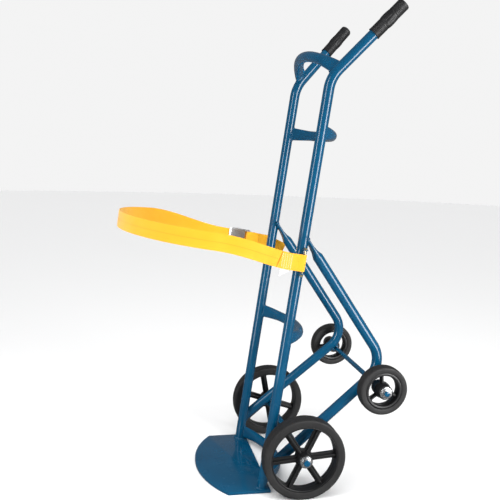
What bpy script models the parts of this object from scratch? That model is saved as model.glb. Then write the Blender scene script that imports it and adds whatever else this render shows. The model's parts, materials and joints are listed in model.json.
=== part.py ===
"""Four-wheel drum truck with a strap: a bent-tube hand truck that carries one
upright drum between its two rails.

The truck stands on its toe plate and its front wheels, with the rails leaning back.
+X is the operator's left, -Y is the front (the drum side), +Z is up, metres.
Everything but the toe plate is laid out in the truck's own leaning frame: the rails
run along its Z axis and the point (0, 0, 0) is where the rails meet the floor.
"""

import math

import bmesh
import bpy
from mathutils import Matrix, Vector

# ---------------------------------------------------------------- driving sizes
GAP = 0.0003                     # between pieces that touch
LEAN = math.radians(7.2)         # rails back from upright
TUBE_R = 0.015875                # 1-1/4 in tube
TUBE_WALL = 0.00165              # 16 gauge
TUBE_SIDES = 18
BOW_SIDES = 14
WELD_GAP = 0.0012                # left round a coped tube end for its weld

RAIL_X = 0.1855
RAIL_BEND_Z = 1.2657
RAIL_BEND_R = 0.100
HANDLE_BACK = math.radians(35.0)
HANDLE_SPLAY = 0.197             # sideways travel per metre of handle
HANDLE_LENGTH = 0.279

DRUM_R = 0.292                   # the 55 US gallon drum that the truck is made for
DRUM_Y = -0.246

BOW_RISE = 0.079
HANDLE_BOW_RISE = 0.073
HANDLE_BOW_TILT = math.radians(37.0)
HANDLE_BOW_ALONG = 0.033         # up the handle from the bend
BOW_HEIGHTS = {"upper_cradle_bow": 1.109, "middle_cradle_bow": 0.486, "lower_cradle_bow": 0.033}
FLAT_HALF_WIDTH = 0.0225         # a squashed tube end
FLAT_HALF_THICKNESS = 0.0034

SUPPORT_TOP = Vector((0.180, 0.000, 0.806))
SUPPORT_BEND = Vector((0.180, 0.332, 0.4375))
SUPPORT_FOOT = Vector((0.2025, 0.000, 0.0712))
SUPPORT_BEND_R = 0.083

PLATE_THICKNESS = 0.009525       # 3/8 in
PLATE_HALF_WIDTH = 0.2095
PLATE_REAR = 0.024
PLATE_CORNER = -0.108
PLATE_NOSE = 0.075               # how far the front edge bows forward at the middle

FRONT_AXLE_R = 0.009525          # 3/4 in
REAR_AXLE_R = 0.0079375          # 5/8 in
AXLE_HALF = 0.287
AXLE_CHAMFER = 0.0012
FRONT_AXLE = Vector((0.0, 0.0967, 0.1379))
REAR_AXLE = Vector((0.0, 0.3080, 0.3735))
FRONT_WHEEL_R = 0.127
REAR_WHEEL_R = 0.0762
HUB_OUTER_X = 0.275

STRAP_WIDTH = 0.050
STRAP_THICKNESS = 0.0018
STRAP_HIGH = 0.764               # height of the strap's middle round the drum
STRAP_LOW = 0.725                # and at its two anchor bolts
STRAP_EASE = 0.300               # length over which it climbs from one to the other
FAR_LEVEL = 0.165                # on the far side it stays low this far, through the buckle
STRAP_LOOP_R = 0.0061
ANCHOR_X = 0.2105
ANCHOR_Y = 0.004
LUG_HEIGHTS = (0.693, 0.764)
LUG_THICKNESS = 0.003
BOLT_R = 0.003

# height of the leaning frame's zero point that puts the front wheels on the floor
FRAME_LIFT = (FRONT_WHEEL_R + FRONT_AXLE.y * math.sin(LEAN) - FRONT_AXLE.z * math.cos(LEAN))
TRUCK = Matrix.Translation((0.0, 0.0, FRAME_LIFT)) @ Matrix.Rotation(-LEAN, 4, "X")

# ---------------------------------------------------------------- scene and materials
for old in list(bpy.data.objects):
    bpy.data.objects.remove(old, do_unlink=True)

parts = bpy.data.collections.new("drum_truck")
bpy.context.scene.collection.children.link(parts)
tools = bpy.data.collections.new("shaping")
bpy.context.scene.collection.children.link(tools)

truck = bpy.data.objects.new("truck_frame", None)
truck.matrix_world = TRUCK
parts.objects.link(truck)


def material(name, colour, roughness, metallic=0.0):
    made = bpy.data.materials.new(name)
    made.use_nodes = True
    shader = made.node_tree.nodes["Principled BSDF"]
    shader.inputs["Base Color"].default_value = (*colour, 1.0)
    shader.inputs["Roughness"].default_value = roughness
    shader.inputs["Metallic"].default_value = metallic
    made.diffuse_color = (*colour, 1.0)
    return made


BLUE = material("blue_gloss_paint", (0.004, 0.096, 0.235), 0.22, 0.2)
RUBBER = material("black_rubber", (0.014, 0.014, 0.015), 0.62)
GRIP_RUBBER = material("grip_rubber", (0.018, 0.018, 0.019), 0.55)
PLASTIC = material("black_plastic", (0.011, 0.011, 0.012), 0.42)
ZINC = material("zinc_plate", (0.60, 0.61, 0.62), 0.28, 1.0)
YELLOW_ZINC = material("yellow_zinc_plate", (0.70, 0.58, 0.34), 0.30, 1.0)
BUSH_STEEL = material("bush_steel", (0.42, 0.42, 0.43), 0.34, 1.0)
WEBBING = material("yellow_webbing", (0.83, 0.48, 0.012), 0.78)
TAG = material("white_tag", (0.78, 0.78, 0.77), 0.60)


# ---------------------------------------------------------------- shaping helpers
def add(name, mesh, surface, matrix=None, parent=truck, group=parts):
    obj = bpy.data.objects.new(name, mesh)
    group.objects.link(obj)
    mesh.materials.clear()
    mesh.materials.append(surface)
    obj.parent = parent
    if matrix is not None:
        obj.matrix_local = matrix
    return obj


def mesh_from(name, vertices, faces):
    mesh = bpy.data.meshes.new(name)
    mesh.from_pydata([tuple(v) for v in vertices], [], faces)
    return mesh


def rounded_path(points, radius, steps):
    """A polyline's inner corners turned into arcs of one radius."""
    path = [points[0]]
    for before, corner, after in zip(points, points[1:], points[2:]):
        back = (before - corner).normalized()
        ahead = (after - corner).normalized()
        half = back.angle(ahead) / 2.0
        inward = (back + ahead).normalized()
        centre = corner + inward * (radius / math.sin(half))
        turn = math.pi - 2.0 * half
        side = (back - ahead).normalized()
        for step in range(steps + 1):
            angle = turn * (0.5 - step / steps)
            path.append(centre + radius * (side * math.sin(angle) - inward * math.cos(angle)))
    path.append(points[-1])
    return path


def directions(path):
    """Unit tangent at each point of a path."""
    spans = [(b - a).normalized() for a, b in zip(path, path[1:])]
    middle = [(a + b).normalized() for a, b in zip(spans, spans[1:])]
    return [spans[0]] + middle + [spans[-1]]


def round_section(_station):
    return TUBE_R, TUBE_R, 2.0


def ring(centre, wide, thin, sides, half_wide, half_thin, power):
    """One closed cross-section; a power of 2 is round and a higher one is flatter."""
    points = []
    for step in range(sides):
        angle = 2.0 * math.pi * (step + 0.5) / sides
        across = math.copysign(abs(math.cos(angle)) ** (2.0 / power), math.cos(angle))
        along = math.copysign(abs(math.sin(angle)) ** (2.0 / power), math.sin(angle))
        points.append(centre + wide * (half_wide * across) + thin * (half_thin * along))
    return points


def reach_plane(start, heading, point, normal):
    return (point - start).dot(normal) / heading.dot(normal)


def reach_cylinder(start, heading, point, axis, radius):
    """Distance along heading to a cylinder's surface.

    A line that misses it, or only grazes it, stops level with its half radius.
    """
    flat_heading = heading - axis * heading.dot(axis)
    offset = (start - point) - axis * (start - point).dot(axis)
    a = flat_heading.length_squared
    b = offset.dot(flat_heading)
    c = offset.length_squared - radius * radius
    return (-b - math.sqrt(max(b * b - a * c, 0.25 * a * radius * radius))) / a


def tube(name, path, first_side, section=round_section, trims=(None, None), sides=TUBE_SIDES):
    """A hollow tube swept along a path, open at both ends.

    section gives each station's half width, half thickness and flatness, and a trim
    is a function that says how far each end point runs on to meet its neighbour.
    """
    tangents = directions(path)
    outer = []
    inner = []
    wide = first_side
    for station, (centre, tangent) in enumerate(zip(path, tangents)):
        wide = (wide - tangent * wide.dot(tangent)).normalized()
        thin = tangent.cross(wide)
        half_wide, half_thin, power = section(station)
        outer.append(ring(centre, wide, thin, sides, half_wide, half_thin, power))
        inner.append(ring(centre, wide, thin, sides, half_wide - TUBE_WALL, half_thin - TUBE_WALL, power))
    for end, heading, trim in ((0, -tangents[0], trims[0]), (-1, tangents[-1], trims[1])):
        if trim:
            for rings in (outer, inner):
                rings[end] = [p + heading * trim(p, heading) for p in rings[end]]

    last = len(path) - 1
    vertices = [p for rings in (outer, inner) for r in rings for p in r]
    inside = len(outer) * sides
    faces = []
    for station in range(last):
        for step in range(sides):
            a = station * sides + step
            b = station * sides + (step + 1) % sides
            faces.append((a, b, b + sides, a + sides))
            faces.append((inside + b, inside + a, inside + a + sides, inside + b + sides))
    for step in range(sides):
        after = (step + 1) % sides
        faces.append((after, step, inside + step, inside + after))
        a = last * sides + step
        b = last * sides + after
        faces.append((a, b, inside + b, inside + a))
    return add(name, mesh_from(name, vertices, faces), BLUE)


def lathe(name, profile, steps, surface, matrix, group=parts, parent=truck):
    """A closed (radius, height) outline turned round the local Z axis."""
    count = len(profile)
    mesh = bpy.data.meshes.new(name)
    mesh.from_pydata([(r, 0.0, h) for r, h in profile], [(i, (i + 1) % count) for i in range(count)], [])
    obj = add(name, mesh, surface, matrix, parent, group)
    screw = obj.modifiers.new("turn", "SCREW")
    screw.steps = steps
    screw.render_steps = steps
    screw.use_merge_vertices = True
    screw.merge_threshold = 0.00001
    return obj


def plain_ring(inner_r, outer_r, low, high):
    return [(outer_r, high), (outer_r, low), (inner_r, low), (inner_r, high)]


def box(name, low, high, surface, matrix=None, group=parts, parent=truck):
    mesh = bpy.data.meshes.new(name)
    shape = bmesh.new()
    bmesh.ops.create_cube(shape, size=1.0)
    size = [b - a for a, b in zip(low, high)]
    middle = [(a + b) / 2.0 for a, b in zip(low, high)]
    bmesh.ops.scale(shape, vec=size, verts=shape.verts)
    bmesh.ops.translate(shape, vec=middle, verts=shape.verts)
    shape.to_mesh(mesh)
    shape.free()
    return add(name, mesh, surface, matrix, parent, group)


def slab_mesh(name, outlines, low, high):
    """Closed 2D outlines, the first with the others as holes in it, given a thickness."""
    curve = bpy.data.curves.new(name, "CURVE")
    curve.dimensions = "2D"
    curve.fill_mode = "BOTH"
    curve.extrude = (high - low) / 2.0
    for outline in outlines:
        spline = curve.splines.new("POLY")
        spline.points.add(len(outline) - 1)
        for point, (x, y) in zip(spline.points, outline):
            point.co = (x, y, 0.0, 1.0)
        spline.use_cyclic_u = True
    holder = bpy.data.objects.new(name, curve)
    mesh = bpy.data.meshes.new_from_object(holder)
    bpy.data.objects.remove(holder)
    shape = bmesh.new()
    shape.from_mesh(mesh)
    bmesh.ops.remove_doubles(shape, verts=shape.verts, dist=0.00001)
    bmesh.ops.translate(shape, vec=(0.0, 0.0, (low + high) / 2.0), verts=shape.verts)
    shape.to_mesh(mesh)
    shape.free()
    return mesh


def circle(x, y, radius, steps):
    turns = [2.0 * math.pi * step / steps for step in range(steps)]
    return [(x + radius * math.cos(t), y + radius * math.sin(t)) for t in turns]


def boolean(obj, other, operation):
    """Cut or join another object into this one and keep that object out of the way."""
    for group in list(other.users_collection):
        group.objects.unlink(other)
    tools.objects.link(other)
    other.hide_render = True
    other.display_type = "WIRE"
    change = obj.modifiers.new(operation.lower(), "BOOLEAN")
    change.operation = operation
    change.object = other
    change.solver = "EXACT"


def along_x(x, axle):
    """Local Z turned to point along +X from a place on an axle."""
    return Matrix.Translation((x, axle.y, axle.z)) @ Matrix.Rotation(math.pi / 2.0, 4, "Y")


def mirrored(vector):
    return Vector((-vector.x, vector.y, vector.z))


SIDES = (("left", 1.0), ("right", -1.0))


# ---------------------------------------------------------------- rails and handles
handle_heading = Vector((HANDLE_SPLAY, math.sin(HANDLE_BACK), math.cos(HANDLE_BACK))).normalized()
rail_bend = Vector((RAIL_X, 0.0, RAIL_BEND_Z))
handle_end = rail_bend + handle_heading * HANDLE_LENGTH
plate_top = TRUCK.inverted() @ Vector((0.0, 0.0, PLATE_THICKNESS + GAP))
plate_normal = (TRUCK.inverted().to_3x3() @ Vector((0.0, 0.0, 1.0))).normalized()


def to_plate(point, heading):
    return reach_plane(point, heading, plate_top, plate_normal)


for side, sign in SIDES:
    corners = [Vector((RAIL_X, 0.0, plate_top.z)), rail_bend, handle_end]
    if sign < 0.0:
        corners = [mirrored(corner) for corner in corners]
    tube(f"{side}_rail", rounded_path(corners, RAIL_BEND_R, 6), Vector((0.0, 1.0, 0.0)), trims=(to_plate, None))


# ---------------------------------------------------------------- cradle bows
def bow_section(station):
    """Squashed flat at both ends and round between them."""
    share = min(station, BOW_STEPS - station) / 3.0
    ease = min(share, 1.0) ** 1.4
    return (FLAT_HALF_WIDTH + (TUBE_R - FLAT_HALF_WIDTH) * ease,
            FLAT_HALF_THICKNESS + (TUBE_R - FLAT_HALF_THICKNESS) * ease,
            3.4 - 1.4 * ease)


BOW_STEPS = 12


def bow(name, middle, outward, upward, half, rise, rail_axis):
    """A shallow arc of tube between the two rails, welded to them by its flat ends."""
    radius = (half * half + rise * rise) / (2.0 * rise)
    reach = math.asin(half / radius)
    path = []
    for step in range(BOW_STEPS + 1):
        # the stations crowd together at the ends, where the tube is squashed
        share = 2.0 * step / BOW_STEPS - 1.0
        angle = reach * (0.72 * share + 0.28 * math.sin(share * math.pi / 2.0))
        path.append(middle + Vector((radius * math.sin(angle), 0.0, 0.0))
                    + outward * (radius * math.cos(angle) - radius + rise))

    def to_rail(point, heading):
        side = math.copysign(1.0, heading.x)
        axis = Vector((rail_axis.x * side, rail_axis.y, rail_axis.z))
        foot = middle + Vector((half * side, 0.0, 0.0))
        return reach_cylinder(point, heading, foot, axis, TUBE_R + GAP)

    return tube(name, path, upward, bow_section, (to_rail, to_rail), BOW_SIDES)


for name, height in BOW_HEIGHTS.items():
    bow(name, Vector((0.0, 0.0, height)), Vector((0.0, 1.0, 0.0)), Vector((0.0, 0.0, 1.0)),
        RAIL_X, BOW_RISE, Vector((0.0, 0.0, 1.0)))

bow_foot = rail_bend + handle_heading * HANDLE_BOW_ALONG
bow("handle_bow", Vector((0.0, bow_foot.y, bow_foot.z)),
    Vector((0.0, -math.cos(HANDLE_BOW_TILT), math.sin(HANDLE_BOW_TILT))),
    Vector((0.0, math.sin(HANDLE_BOW_TILT), math.cos(HANDLE_BOW_TILT))),
    bow_foot.x, HANDLE_BOW_RISE, handle_heading)


# ---------------------------------------------------------------- rear wheel supports
SQUASHED_TOP = (                 # (along from the top, half width, half thickness, flatness)
    (0.000, 0.0215, 0.0050, 3.4), (0.046, 0.0210, 0.0054, 3.2), (0.064, 0.0190, 0.0092, 2.6),
    (0.082, TUBE_R, TUBE_R, 2.0),
)


def support_section(station):
    """Squashed where it meets the back of the rail and round from there on."""
    return SQUASHED_TOP[min(station, len(SQUASHED_TOP) - 1)][1:]


def support_trim(sign):
    def to_rail(point, heading):
        return reach_cylinder(point, heading, Vector((RAIL_X * sign, 0.0, 0.0)),
                              Vector((0.0, 0.0, 1.0)), TUBE_R + WELD_GAP)
    return to_rail


for side, sign in SIDES:
    corners = [SUPPORT_TOP, SUPPORT_BEND, SUPPORT_FOOT]
    if sign < 0.0:
        corners = [mirrored(corner) for corner in corners]
    path = rounded_path(corners, SUPPORT_BEND_R, 8)
    along = (path[1] - path[0]).normalized()
    path[1:1] = [path[0] + along * distance for distance, *_ in SQUASHED_TOP[1:]]
    tube(f"{side}_support_tube", path, Vector((1.0, 0.0, 0.0)), support_section,
         trims=(support_trim(sign), support_trim(sign)))


# ---------------------------------------------------------------- toe plate
nose_radius = (PLATE_HALF_WIDTH ** 2 + PLATE_NOSE ** 2) / (2.0 * PLATE_NOSE)
nose_reach = math.asin(PLATE_HALF_WIDTH / nose_radius)
NOSE_STEPS = 16
plate_outline = [(PLATE_HALF_WIDTH, PLATE_REAR), (-PLATE_HALF_WIDTH, PLATE_REAR)]
for step in range(NOSE_STEPS + 1):
    angle = nose_reach * (2.0 * step / NOSE_STEPS - 1.0)
    plate_outline.append((nose_radius * math.sin(angle),
                          PLATE_CORNER - PLATE_NOSE + nose_radius * (1.0 - math.cos(angle))))
toe_plate = add("toe_plate", slab_mesh("toe_plate", [plate_outline], 0.0, PLATE_THICKNESS), BLUE, parent=None)
edge = toe_plate.modifiers.new("edges", "BEVEL")
edge.width = 0.0009
edge.segments = 1
edge.limit_method = "ANGLE"
edge.angle_limit = math.radians(40.0)

# ---------------------------------------------------------------- grips
GRIP_LENGTH = 0.1165
GRIP_STEPS = 18
GRIP_BORE = (TUBE_R + 0.0002) / math.cos(math.pi / GRIP_STEPS)
GRIP_RIB_R = 0.01875
GRIP_OUTLINE = [                 # (height from the grip's lower edge, radius)
    (0.1165, 0.0150), (0.1140, 0.0182), (0.1105, GRIP_RIB_R), (0.0780, 0.0187), (0.0720, 0.0190), (0.0640, 0.0198),
    (0.0550, 0.0201), (0.0460, 0.0198), (0.0400, 0.0190), (0.0375, 0.0183), (0.0350, GRIP_RIB_R),
    (0.0000, GRIP_RIB_R),
]
for side, sign in SIDES:
    heading = handle_heading if sign > 0.0 else mirrored(handle_heading)
    end = handle_end if sign > 0.0 else mirrored(handle_end)
    turn = heading.to_track_quat("Z", "Y").to_matrix().to_4x4()
    base = end + heading * (0.004 - GRIP_LENGTH)
    bore_end = GRIP_LENGTH - 0.004 + GAP
    profile = [(radius, height) for height, radius in GRIP_OUTLINE]
    profile += [(GRIP_BORE, 0.0), (GRIP_BORE, bore_end), (0.0030, bore_end), (0.0030, GRIP_LENGTH)]
    lathe(f"{side}_grip", profile, GRIP_STEPS, GRIP_RUBBER, Matrix.Translation(base) @ turn)

# ---------------------------------------------------------------- axles and their fasteners
for name, place, radius in (("front_axle", FRONT_AXLE, FRONT_AXLE_R), ("rear_axle", REAR_AXLE, REAR_AXLE_R)):
    mesh = bpy.data.meshes.new(name)
    shape = bmesh.new()
    bmesh.ops.create_cone(shape, cap_ends=True, segments=18, radius1=radius, radius2=radius, depth=2.0 * AXLE_HALF)
    shape.to_mesh(mesh)
    shape.free()
    axle = add(name, mesh, BLUE, along_x(0.0, place))
    edge = axle.modifiers.new("ends", "BEVEL")
    edge.width = AXLE_CHAMFER
    edge.segments = 1
    edge.limit_method = "ANGLE"
    edge.angle_limit = math.radians(60.0)


AXLE_SETS = (("front", FRONT_AXLE, FRONT_AXLE_R, 0.2190), ("rear", REAR_AXLE, REAR_AXLE_R, 0.2120))


def facing_out(sign, place, x):
    """Local Z pointing away from the truck along an axle, from a distance x out."""
    matrix = along_x(x * sign, place)
    return matrix if sign > 0.0 else matrix @ Matrix.Rotation(math.pi, 4, "X")


for where, place, radius, hub_inner in AXLE_SETS:
    bore = radius + GAP
    washer = plain_ring(bore, 0.0186, 0.0, 0.002)
    push_nut = [(0.0125, 0.0050), (0.0150, 0.0030), (0.0150, 0.0), (bore, 0.0), (bore, 0.0050)]
    collar = plain_ring(bore, 0.0150, 0.0, 0.005)
    fasteners = (
        ("washer", washer, HUB_OUTER_X + GAP, ZINC, 20),
        ("push_nut", push_nut, HUB_OUTER_X + 0.002 + 2.0 * GAP, ZINC, 16),
        ("axle_collar", collar, hub_inner - 0.005 - GAP, BLUE, 16),
    )
    for side, sign in SIDES:
        for name, profile, start, surface, steps in fasteners:
            lathe(f"{where}_{side}_{name}", profile, steps, surface, facing_out(sign, place, start))


# ---------------------------------------------------------------- wheels
def window(count, phase, index, inner_r, outer_r, spoke_half, fillet):
    """One rounded opening between two spokes of a wheel centre."""
    pitch = 2.0 * math.pi / count
    low = phase + index * pitch
    inner = math.asin(spoke_half / inner_r)
    outer = math.asin(spoke_half / outer_r)
    outline = []
    cut = fillet / outer_r
    arc_steps = max(3, round(24 / count))
    for corner, heading in ((low + outer, 1.0), (low + pitch - outer, -1.0)):
        side = []
        for step in range(3):
            turn = step / 2.0 * math.pi / 2.0
            angle = corner + heading * cut * (1.0 - math.sin(turn))
            radius = outer_r - fillet * (1.0 - math.cos(turn))
            side.append((radius, angle))
        outline.append(side)
    start, finish = outline
    span = pitch - 2.0 * inner
    points = [(inner_r, low + inner + span * (1.0 - step / arc_steps)) for step in range(arc_steps + 1)]
    points += list(reversed(start))
    first = start[0][1]
    last = finish[0][1]
    points += [(outer_r, first + (last - first) * step / arc_steps) for step in range(1, arc_steps)]
    points += finish
    return [(r * math.cos(a), r * math.sin(a)) for r, a in points]


def wheel_centre(name, matrix, spec):
    """Hub, spokes with a raised rib, and rim, moulded as one piece."""
    windows = [window(spec["spokes"], spec["phase"], i, spec["disc_r"], spec["window_r"],
                      spec["spoke_half"], 0.006) for i in range(spec["spokes"])]
    web = slab_mesh(name, [circle(0.0, 0.0, spec["window_r"] + 0.003, 32), circle(0.0, 0.0, spec["hub_r"] - 0.004, 18)]
                    + windows, -spec["web_half"], spec["web_half"])
    centre = add(name, web, PLASTIC, matrix)
    rim = lathe(f"{name}_rim", spec["rim"], spec["steps"], PLASTIC, matrix, tools)
    hub = lathe(f"{name}_hub", spec["hub"], 18, PLASTIC, matrix, tools)
    ribs = bpy.data.meshes.new(f"{name}_ribs")
    shape = bmesh.new()
    for index in range(spec["spokes"]):
        angle = spec["phase"] + index * 2.0 * math.pi / spec["spokes"]
        made = bmesh.ops.create_cube(shape, size=1.0)["verts"]
        low = spec["hub_r"] - 0.003
        high = spec["window_r"] + 0.002
        bmesh.ops.scale(shape, vec=(high - low, 0.006, 2.0 * spec["rib_half"]), verts=made)
        bmesh.ops.translate(shape, vec=((low + high) / 2.0, 0.0, 0.0), verts=made)
        bmesh.ops.rotate(shape, matrix=Matrix.Rotation(angle, 3, "Z"), verts=made)
    shape.to_mesh(ribs)
    shape.free()
    rib = add(f"{name}_ribs", ribs, PLASTIC, matrix, group=tools)
    for piece in (rim, hub, rib):
        boolean(centre, piece, "UNION")
    return centre


BUSH_R = 0.0125
FRONT_MID = 0.2428               # wheel's middle from the truck's centre plane
FRONT_SEAT = 0.1040
REAR_MID = 0.2443
REAR_SEAT = 0.0570
FRONT_OUT = HUB_OUTER_X - FRONT_MID
FRONT_IN = 0.2190 - FRONT_MID
REAR_OUT = HUB_OUTER_X - REAR_MID
REAR_IN = 0.2120 - REAR_MID

FRONT_SPEC = {
    "steps": 40, "spokes": 6, "phase": math.radians(-78.3), "hub_r": 0.0215, "disc_r": 0.0295, "window_r": 0.0985,
    "spoke_half": 0.0105, "web_half": 0.0045, "rib_half": 0.0125,
    "rim": [(FRONT_SEAT, 0.0195), (FRONT_SEAT, -0.0195), (0.0998, -0.0195), (0.0992, 0.0), (0.0998, 0.0195)],
    "hub": [(0.0190, FRONT_OUT), (0.0215, FRONT_OUT - 0.0025), (0.0215, FRONT_IN + 0.001), (0.0205, FRONT_IN),
            (BUSH_R + GAP, FRONT_IN), (BUSH_R + GAP, FRONT_OUT)],
}
REAR_SPEC = {
    "steps": 32, "spokes": 3, "phase": math.radians(-46.7), "hub_r": 0.0225, "disc_r": 0.0258, "window_r": 0.0460,
    "spoke_half": 0.0055, "web_half": 0.0035, "rib_half": 0.0090,
    "rim": [(REAR_SEAT, 0.0165), (REAR_SEAT, -0.0165), (0.0485, -0.0165), (0.0468, 0.0), (0.0485, 0.0165)],
    "hub": [(0.0205, REAR_OUT), (0.0223, REAR_OUT - 0.002), (0.0240, 0.004), (0.0240, -0.004),
            (0.0225, REAR_IN + 0.001), (0.0215, REAR_IN), (BUSH_R + GAP, REAR_IN), (BUSH_R + GAP, REAR_OUT)],
}
FRONT_TYRE = [(0.1180, 0.0230), (0.1250, 0.0228), (0.1268, 0.0205), (FRONT_WHEEL_R, 0.0080),
              (FRONT_WHEEL_R, -0.0080), (0.1268, -0.0205), (0.1250, -0.0228), (0.1180, -0.0230),
              (FRONT_SEAT + GAP, -0.0212), (FRONT_SEAT + GAP, 0.0212)]
REAR_TYRE = [(0.0690, 0.0190), (0.0733, 0.0180), (0.0753, 0.0140), (REAR_WHEEL_R, 0.0030),
             (REAR_WHEEL_R, -0.0030), (0.0753, -0.0140), (0.0733, -0.0180), (0.0690, -0.0190),
             (REAR_SEAT + GAP, -0.0172), (REAR_SEAT + GAP, 0.0172)]
WHEEL_SETS = (
    ("front", FRONT_AXLE, FRONT_AXLE_R, FRONT_MID, FRONT_SPEC, FRONT_TYRE, 40, FRONT_IN, FRONT_OUT),
    ("rear", REAR_AXLE, REAR_AXLE_R, REAR_MID, REAR_SPEC, REAR_TYRE, 32, REAR_IN, REAR_OUT),
)
for where, place, radius, middle, spec, tyre, steps, hub_in, hub_out in WHEEL_SETS:
    for side, sign in SIDES:
        facing = facing_out(sign, place, middle)
        label = f"{where}_{side}"
        lathe(f"{label}_tyre", tyre, steps, RUBBER, facing)
        wheel_centre(f"{label}_wheel_centre", facing, spec)
        bush = plain_ring(radius + GAP, BUSH_R, hub_in + 0.0005, hub_out - 0.0005)
        lathe(f"{label}_bushing", bush, 16, BUSH_STEEL, facing)


# ---------------------------------------------------------------- strap anchors
def hexagon(across_flats):
    return circle(0.0, 0.0, across_flats / math.sqrt(3.0), 6)


def lug_outline(sign):
    """A half-round ear that stands out from the side of a rail."""
    centre = Vector((ANCHOR_X * sign, ANCHOR_Y))
    points = []
    for step in range(13):
        angle = math.radians(-90.0 + 15.0 * step)
        points.append((centre.x + sign * 0.0085 * math.cos(angle), centre.y + 0.0085 * math.sin(angle)))
    seat = TUBE_R + GAP
    low = ANCHOR_Y - 0.0085
    high = ANCHOR_Y + 0.0085
    for step in range(5):
        y = high + (low - high) * step / 4.0
        points.append((sign * (RAIL_X + math.sqrt(seat * seat - y * y)), y))
    return points


for side, sign in SIDES:
    hole = circle(ANCHOR_X * sign, ANCHOR_Y, BOLT_R + GAP, 16)
    lug = slab_mesh("lug", [lug_outline(sign), hole], -LUG_THICKNESS / 2.0, LUG_THICKNESS / 2.0)
    for level, height in zip(("lower", "upper"), LUG_HEIGHTS):
        add(f"{side}_{level}_lug", lug, BLUE, Matrix.Translation((0.0, 0.0, height)))

    at = Matrix.Translation((ANCHOR_X * sign, ANCHOR_Y, 0.0))
    head_seat = LUG_HEIGHTS[1] + LUG_THICKNESS / 2.0 + GAP
    nut_seat = LUG_HEIGHTS[0] - LUG_THICKNESS / 2.0 - GAP
    bolt = add(f"{side}_anchor_bolt", slab_mesh("bolt", [hexagon(0.010)], head_seat, head_seat + 0.0042),
               YELLOW_ZINC, at)
    shank = add("shank", slab_mesh("shank", [circle(0.0, 0.0, BOLT_R, 16)], nut_seat - 0.0085, head_seat + 0.001),
                YELLOW_ZINC, at, group=tools)
    boolean(bolt, shank, "UNION")
    nut = slab_mesh("nut", [hexagon(0.010), circle(0.0, 0.0, BOLT_R + GAP, 16)], nut_seat - 0.0052, nut_seat)
    add(f"{side}_anchor_nut", nut, YELLOW_ZINC, at)


# ---------------------------------------------------------------- strap
def strap_height(distance):
    """Height of the strap's middle at a distance along it from an anchor bolt."""
    share = min(max(distance / STRAP_EASE, 0.0), 1.0)
    return STRAP_LOW + (STRAP_HIGH - STRAP_LOW) * (0.5 - 0.5 * math.cos(math.pi * share))


def ribbon(name, path, surface, width=STRAP_WIDTH, thickness=STRAP_THICKNESS):
    """A flat strap swept along a path, its width kept upright and square to the path."""
    vertices = []
    upright = Vector((0.0, 0.0, 1.0))
    for centre, tangent in zip(path, directions(path)):
        across = (upright - tangent * upright.dot(tangent)).normalized()
        face = tangent.cross(across)
        for wide, thin in ((1, 1), (-1, 1), (-1, -1), (1, -1)):
            vertices.append(centre + across * (wide * width / 2.0) + face * (thin * thickness / 2.0))
    faces = [(3, 2, 1, 0)]
    for station in range(len(path) - 1):
        for step in range(4):
            a = station * 4 + step
            b = station * 4 + (step + 1) % 4
            faces.append((a, b, b + 4, a + 4))
    end = (len(path) - 1) * 4
    faces.append((end, end + 1, end + 2, end + 3))
    return add(name, mesh_from(name, vertices, faces), surface)


anchor = Vector((ANCHOR_X, ANCHOR_Y, 0.0))
drum_axis = Vector((0.0, DRUM_Y, 0.0))
STRAP_R = DRUM_R + 0.0002 + STRAP_THICKNESS / 2.0
to_anchor = anchor - drum_axis
bearing = math.atan2(to_anchor.y, to_anchor.x)
contact = bearing - math.acos((STRAP_R + STRAP_LOOP_R) / to_anchor.length)
outward = Vector((math.cos(contact), math.sin(contact), 0.0))
rearward = Vector((-outward.y, outward.x, 0.0))
touch = drum_axis + outward * STRAP_R
run = (anchor - touch).dot(rearward)            # straight strap from the bolt to the drum


def near_point(back, out):
    """A point by its distance in front of the near bolt and out from the straight run."""
    place = touch + rearward * (run - back) + outward * out
    return Vector((place.x, place.y, strap_height(back)))


LAYER = STRAP_THICKNESS + GAP
OVERLAP = 0.090
strap_path = [near_point(OVERLAP - step * 0.021, LAYER) for step in range(4)]
strap_path += [near_point(0.0180, LAYER + 0.0022), near_point(0.0100, LAYER + 0.0066)]
for step in range(9):
    angle = math.pi / 2.0 - math.pi * step / 8.0
    strap_path.append(near_point(-STRAP_LOOP_R * math.cos(angle), STRAP_LOOP_R * (1.0 + math.sin(angle))))
strap_path += [near_point(run * share, 0.0) for share in (0.10, 0.28, 0.46, 0.64, 0.82)]

# The far side is laid out from the plane that touches the drum and holds the far bolt.
far_bolt = mirrored(anchor)
far_contact = bearing - math.acos(DRUM_R / to_anchor.length)
far_outward = Vector((-math.cos(far_contact), math.sin(far_contact), 0.0))
far_rearward = Vector((far_outward.y, -far_outward.x, 0.0))
far_touch = drum_axis + far_outward * DRUM_R
far_run = (far_bolt - far_touch).dot(far_rearward)


def far_point(back, out, drop=0.0):
    """A point by its distance in front of the far bolt and out from that plane."""
    place = far_touch + far_rearward * (far_run - back) + far_outward * out
    return Vector((place.x, place.y, STRAP_LOW - drop))


# Round the drum, measured as an angle from +X towards the front.
WRAP_STEPS = 40
LEAVE = 0.055                    # the strap lifts off the drum this far before the far contact
start_angle = -contact
far_angle = math.pi + far_contact
finish_angle = far_angle - LEAVE / STRAP_R
for step in range(WRAP_STEPS + 1):
    angle = start_angle + (finish_angle - start_angle) * step / WRAP_STEPS
    near_distance = run + STRAP_R * (angle - start_angle)
    far_distance = far_run + STRAP_R * (far_angle - angle)
    height = min(strap_height(near_distance), strap_height(far_distance - FAR_LEVEL))
    strap_path.append(Vector((STRAP_R * math.cos(angle), DRUM_Y - STRAP_R * math.sin(angle), height)))

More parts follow.
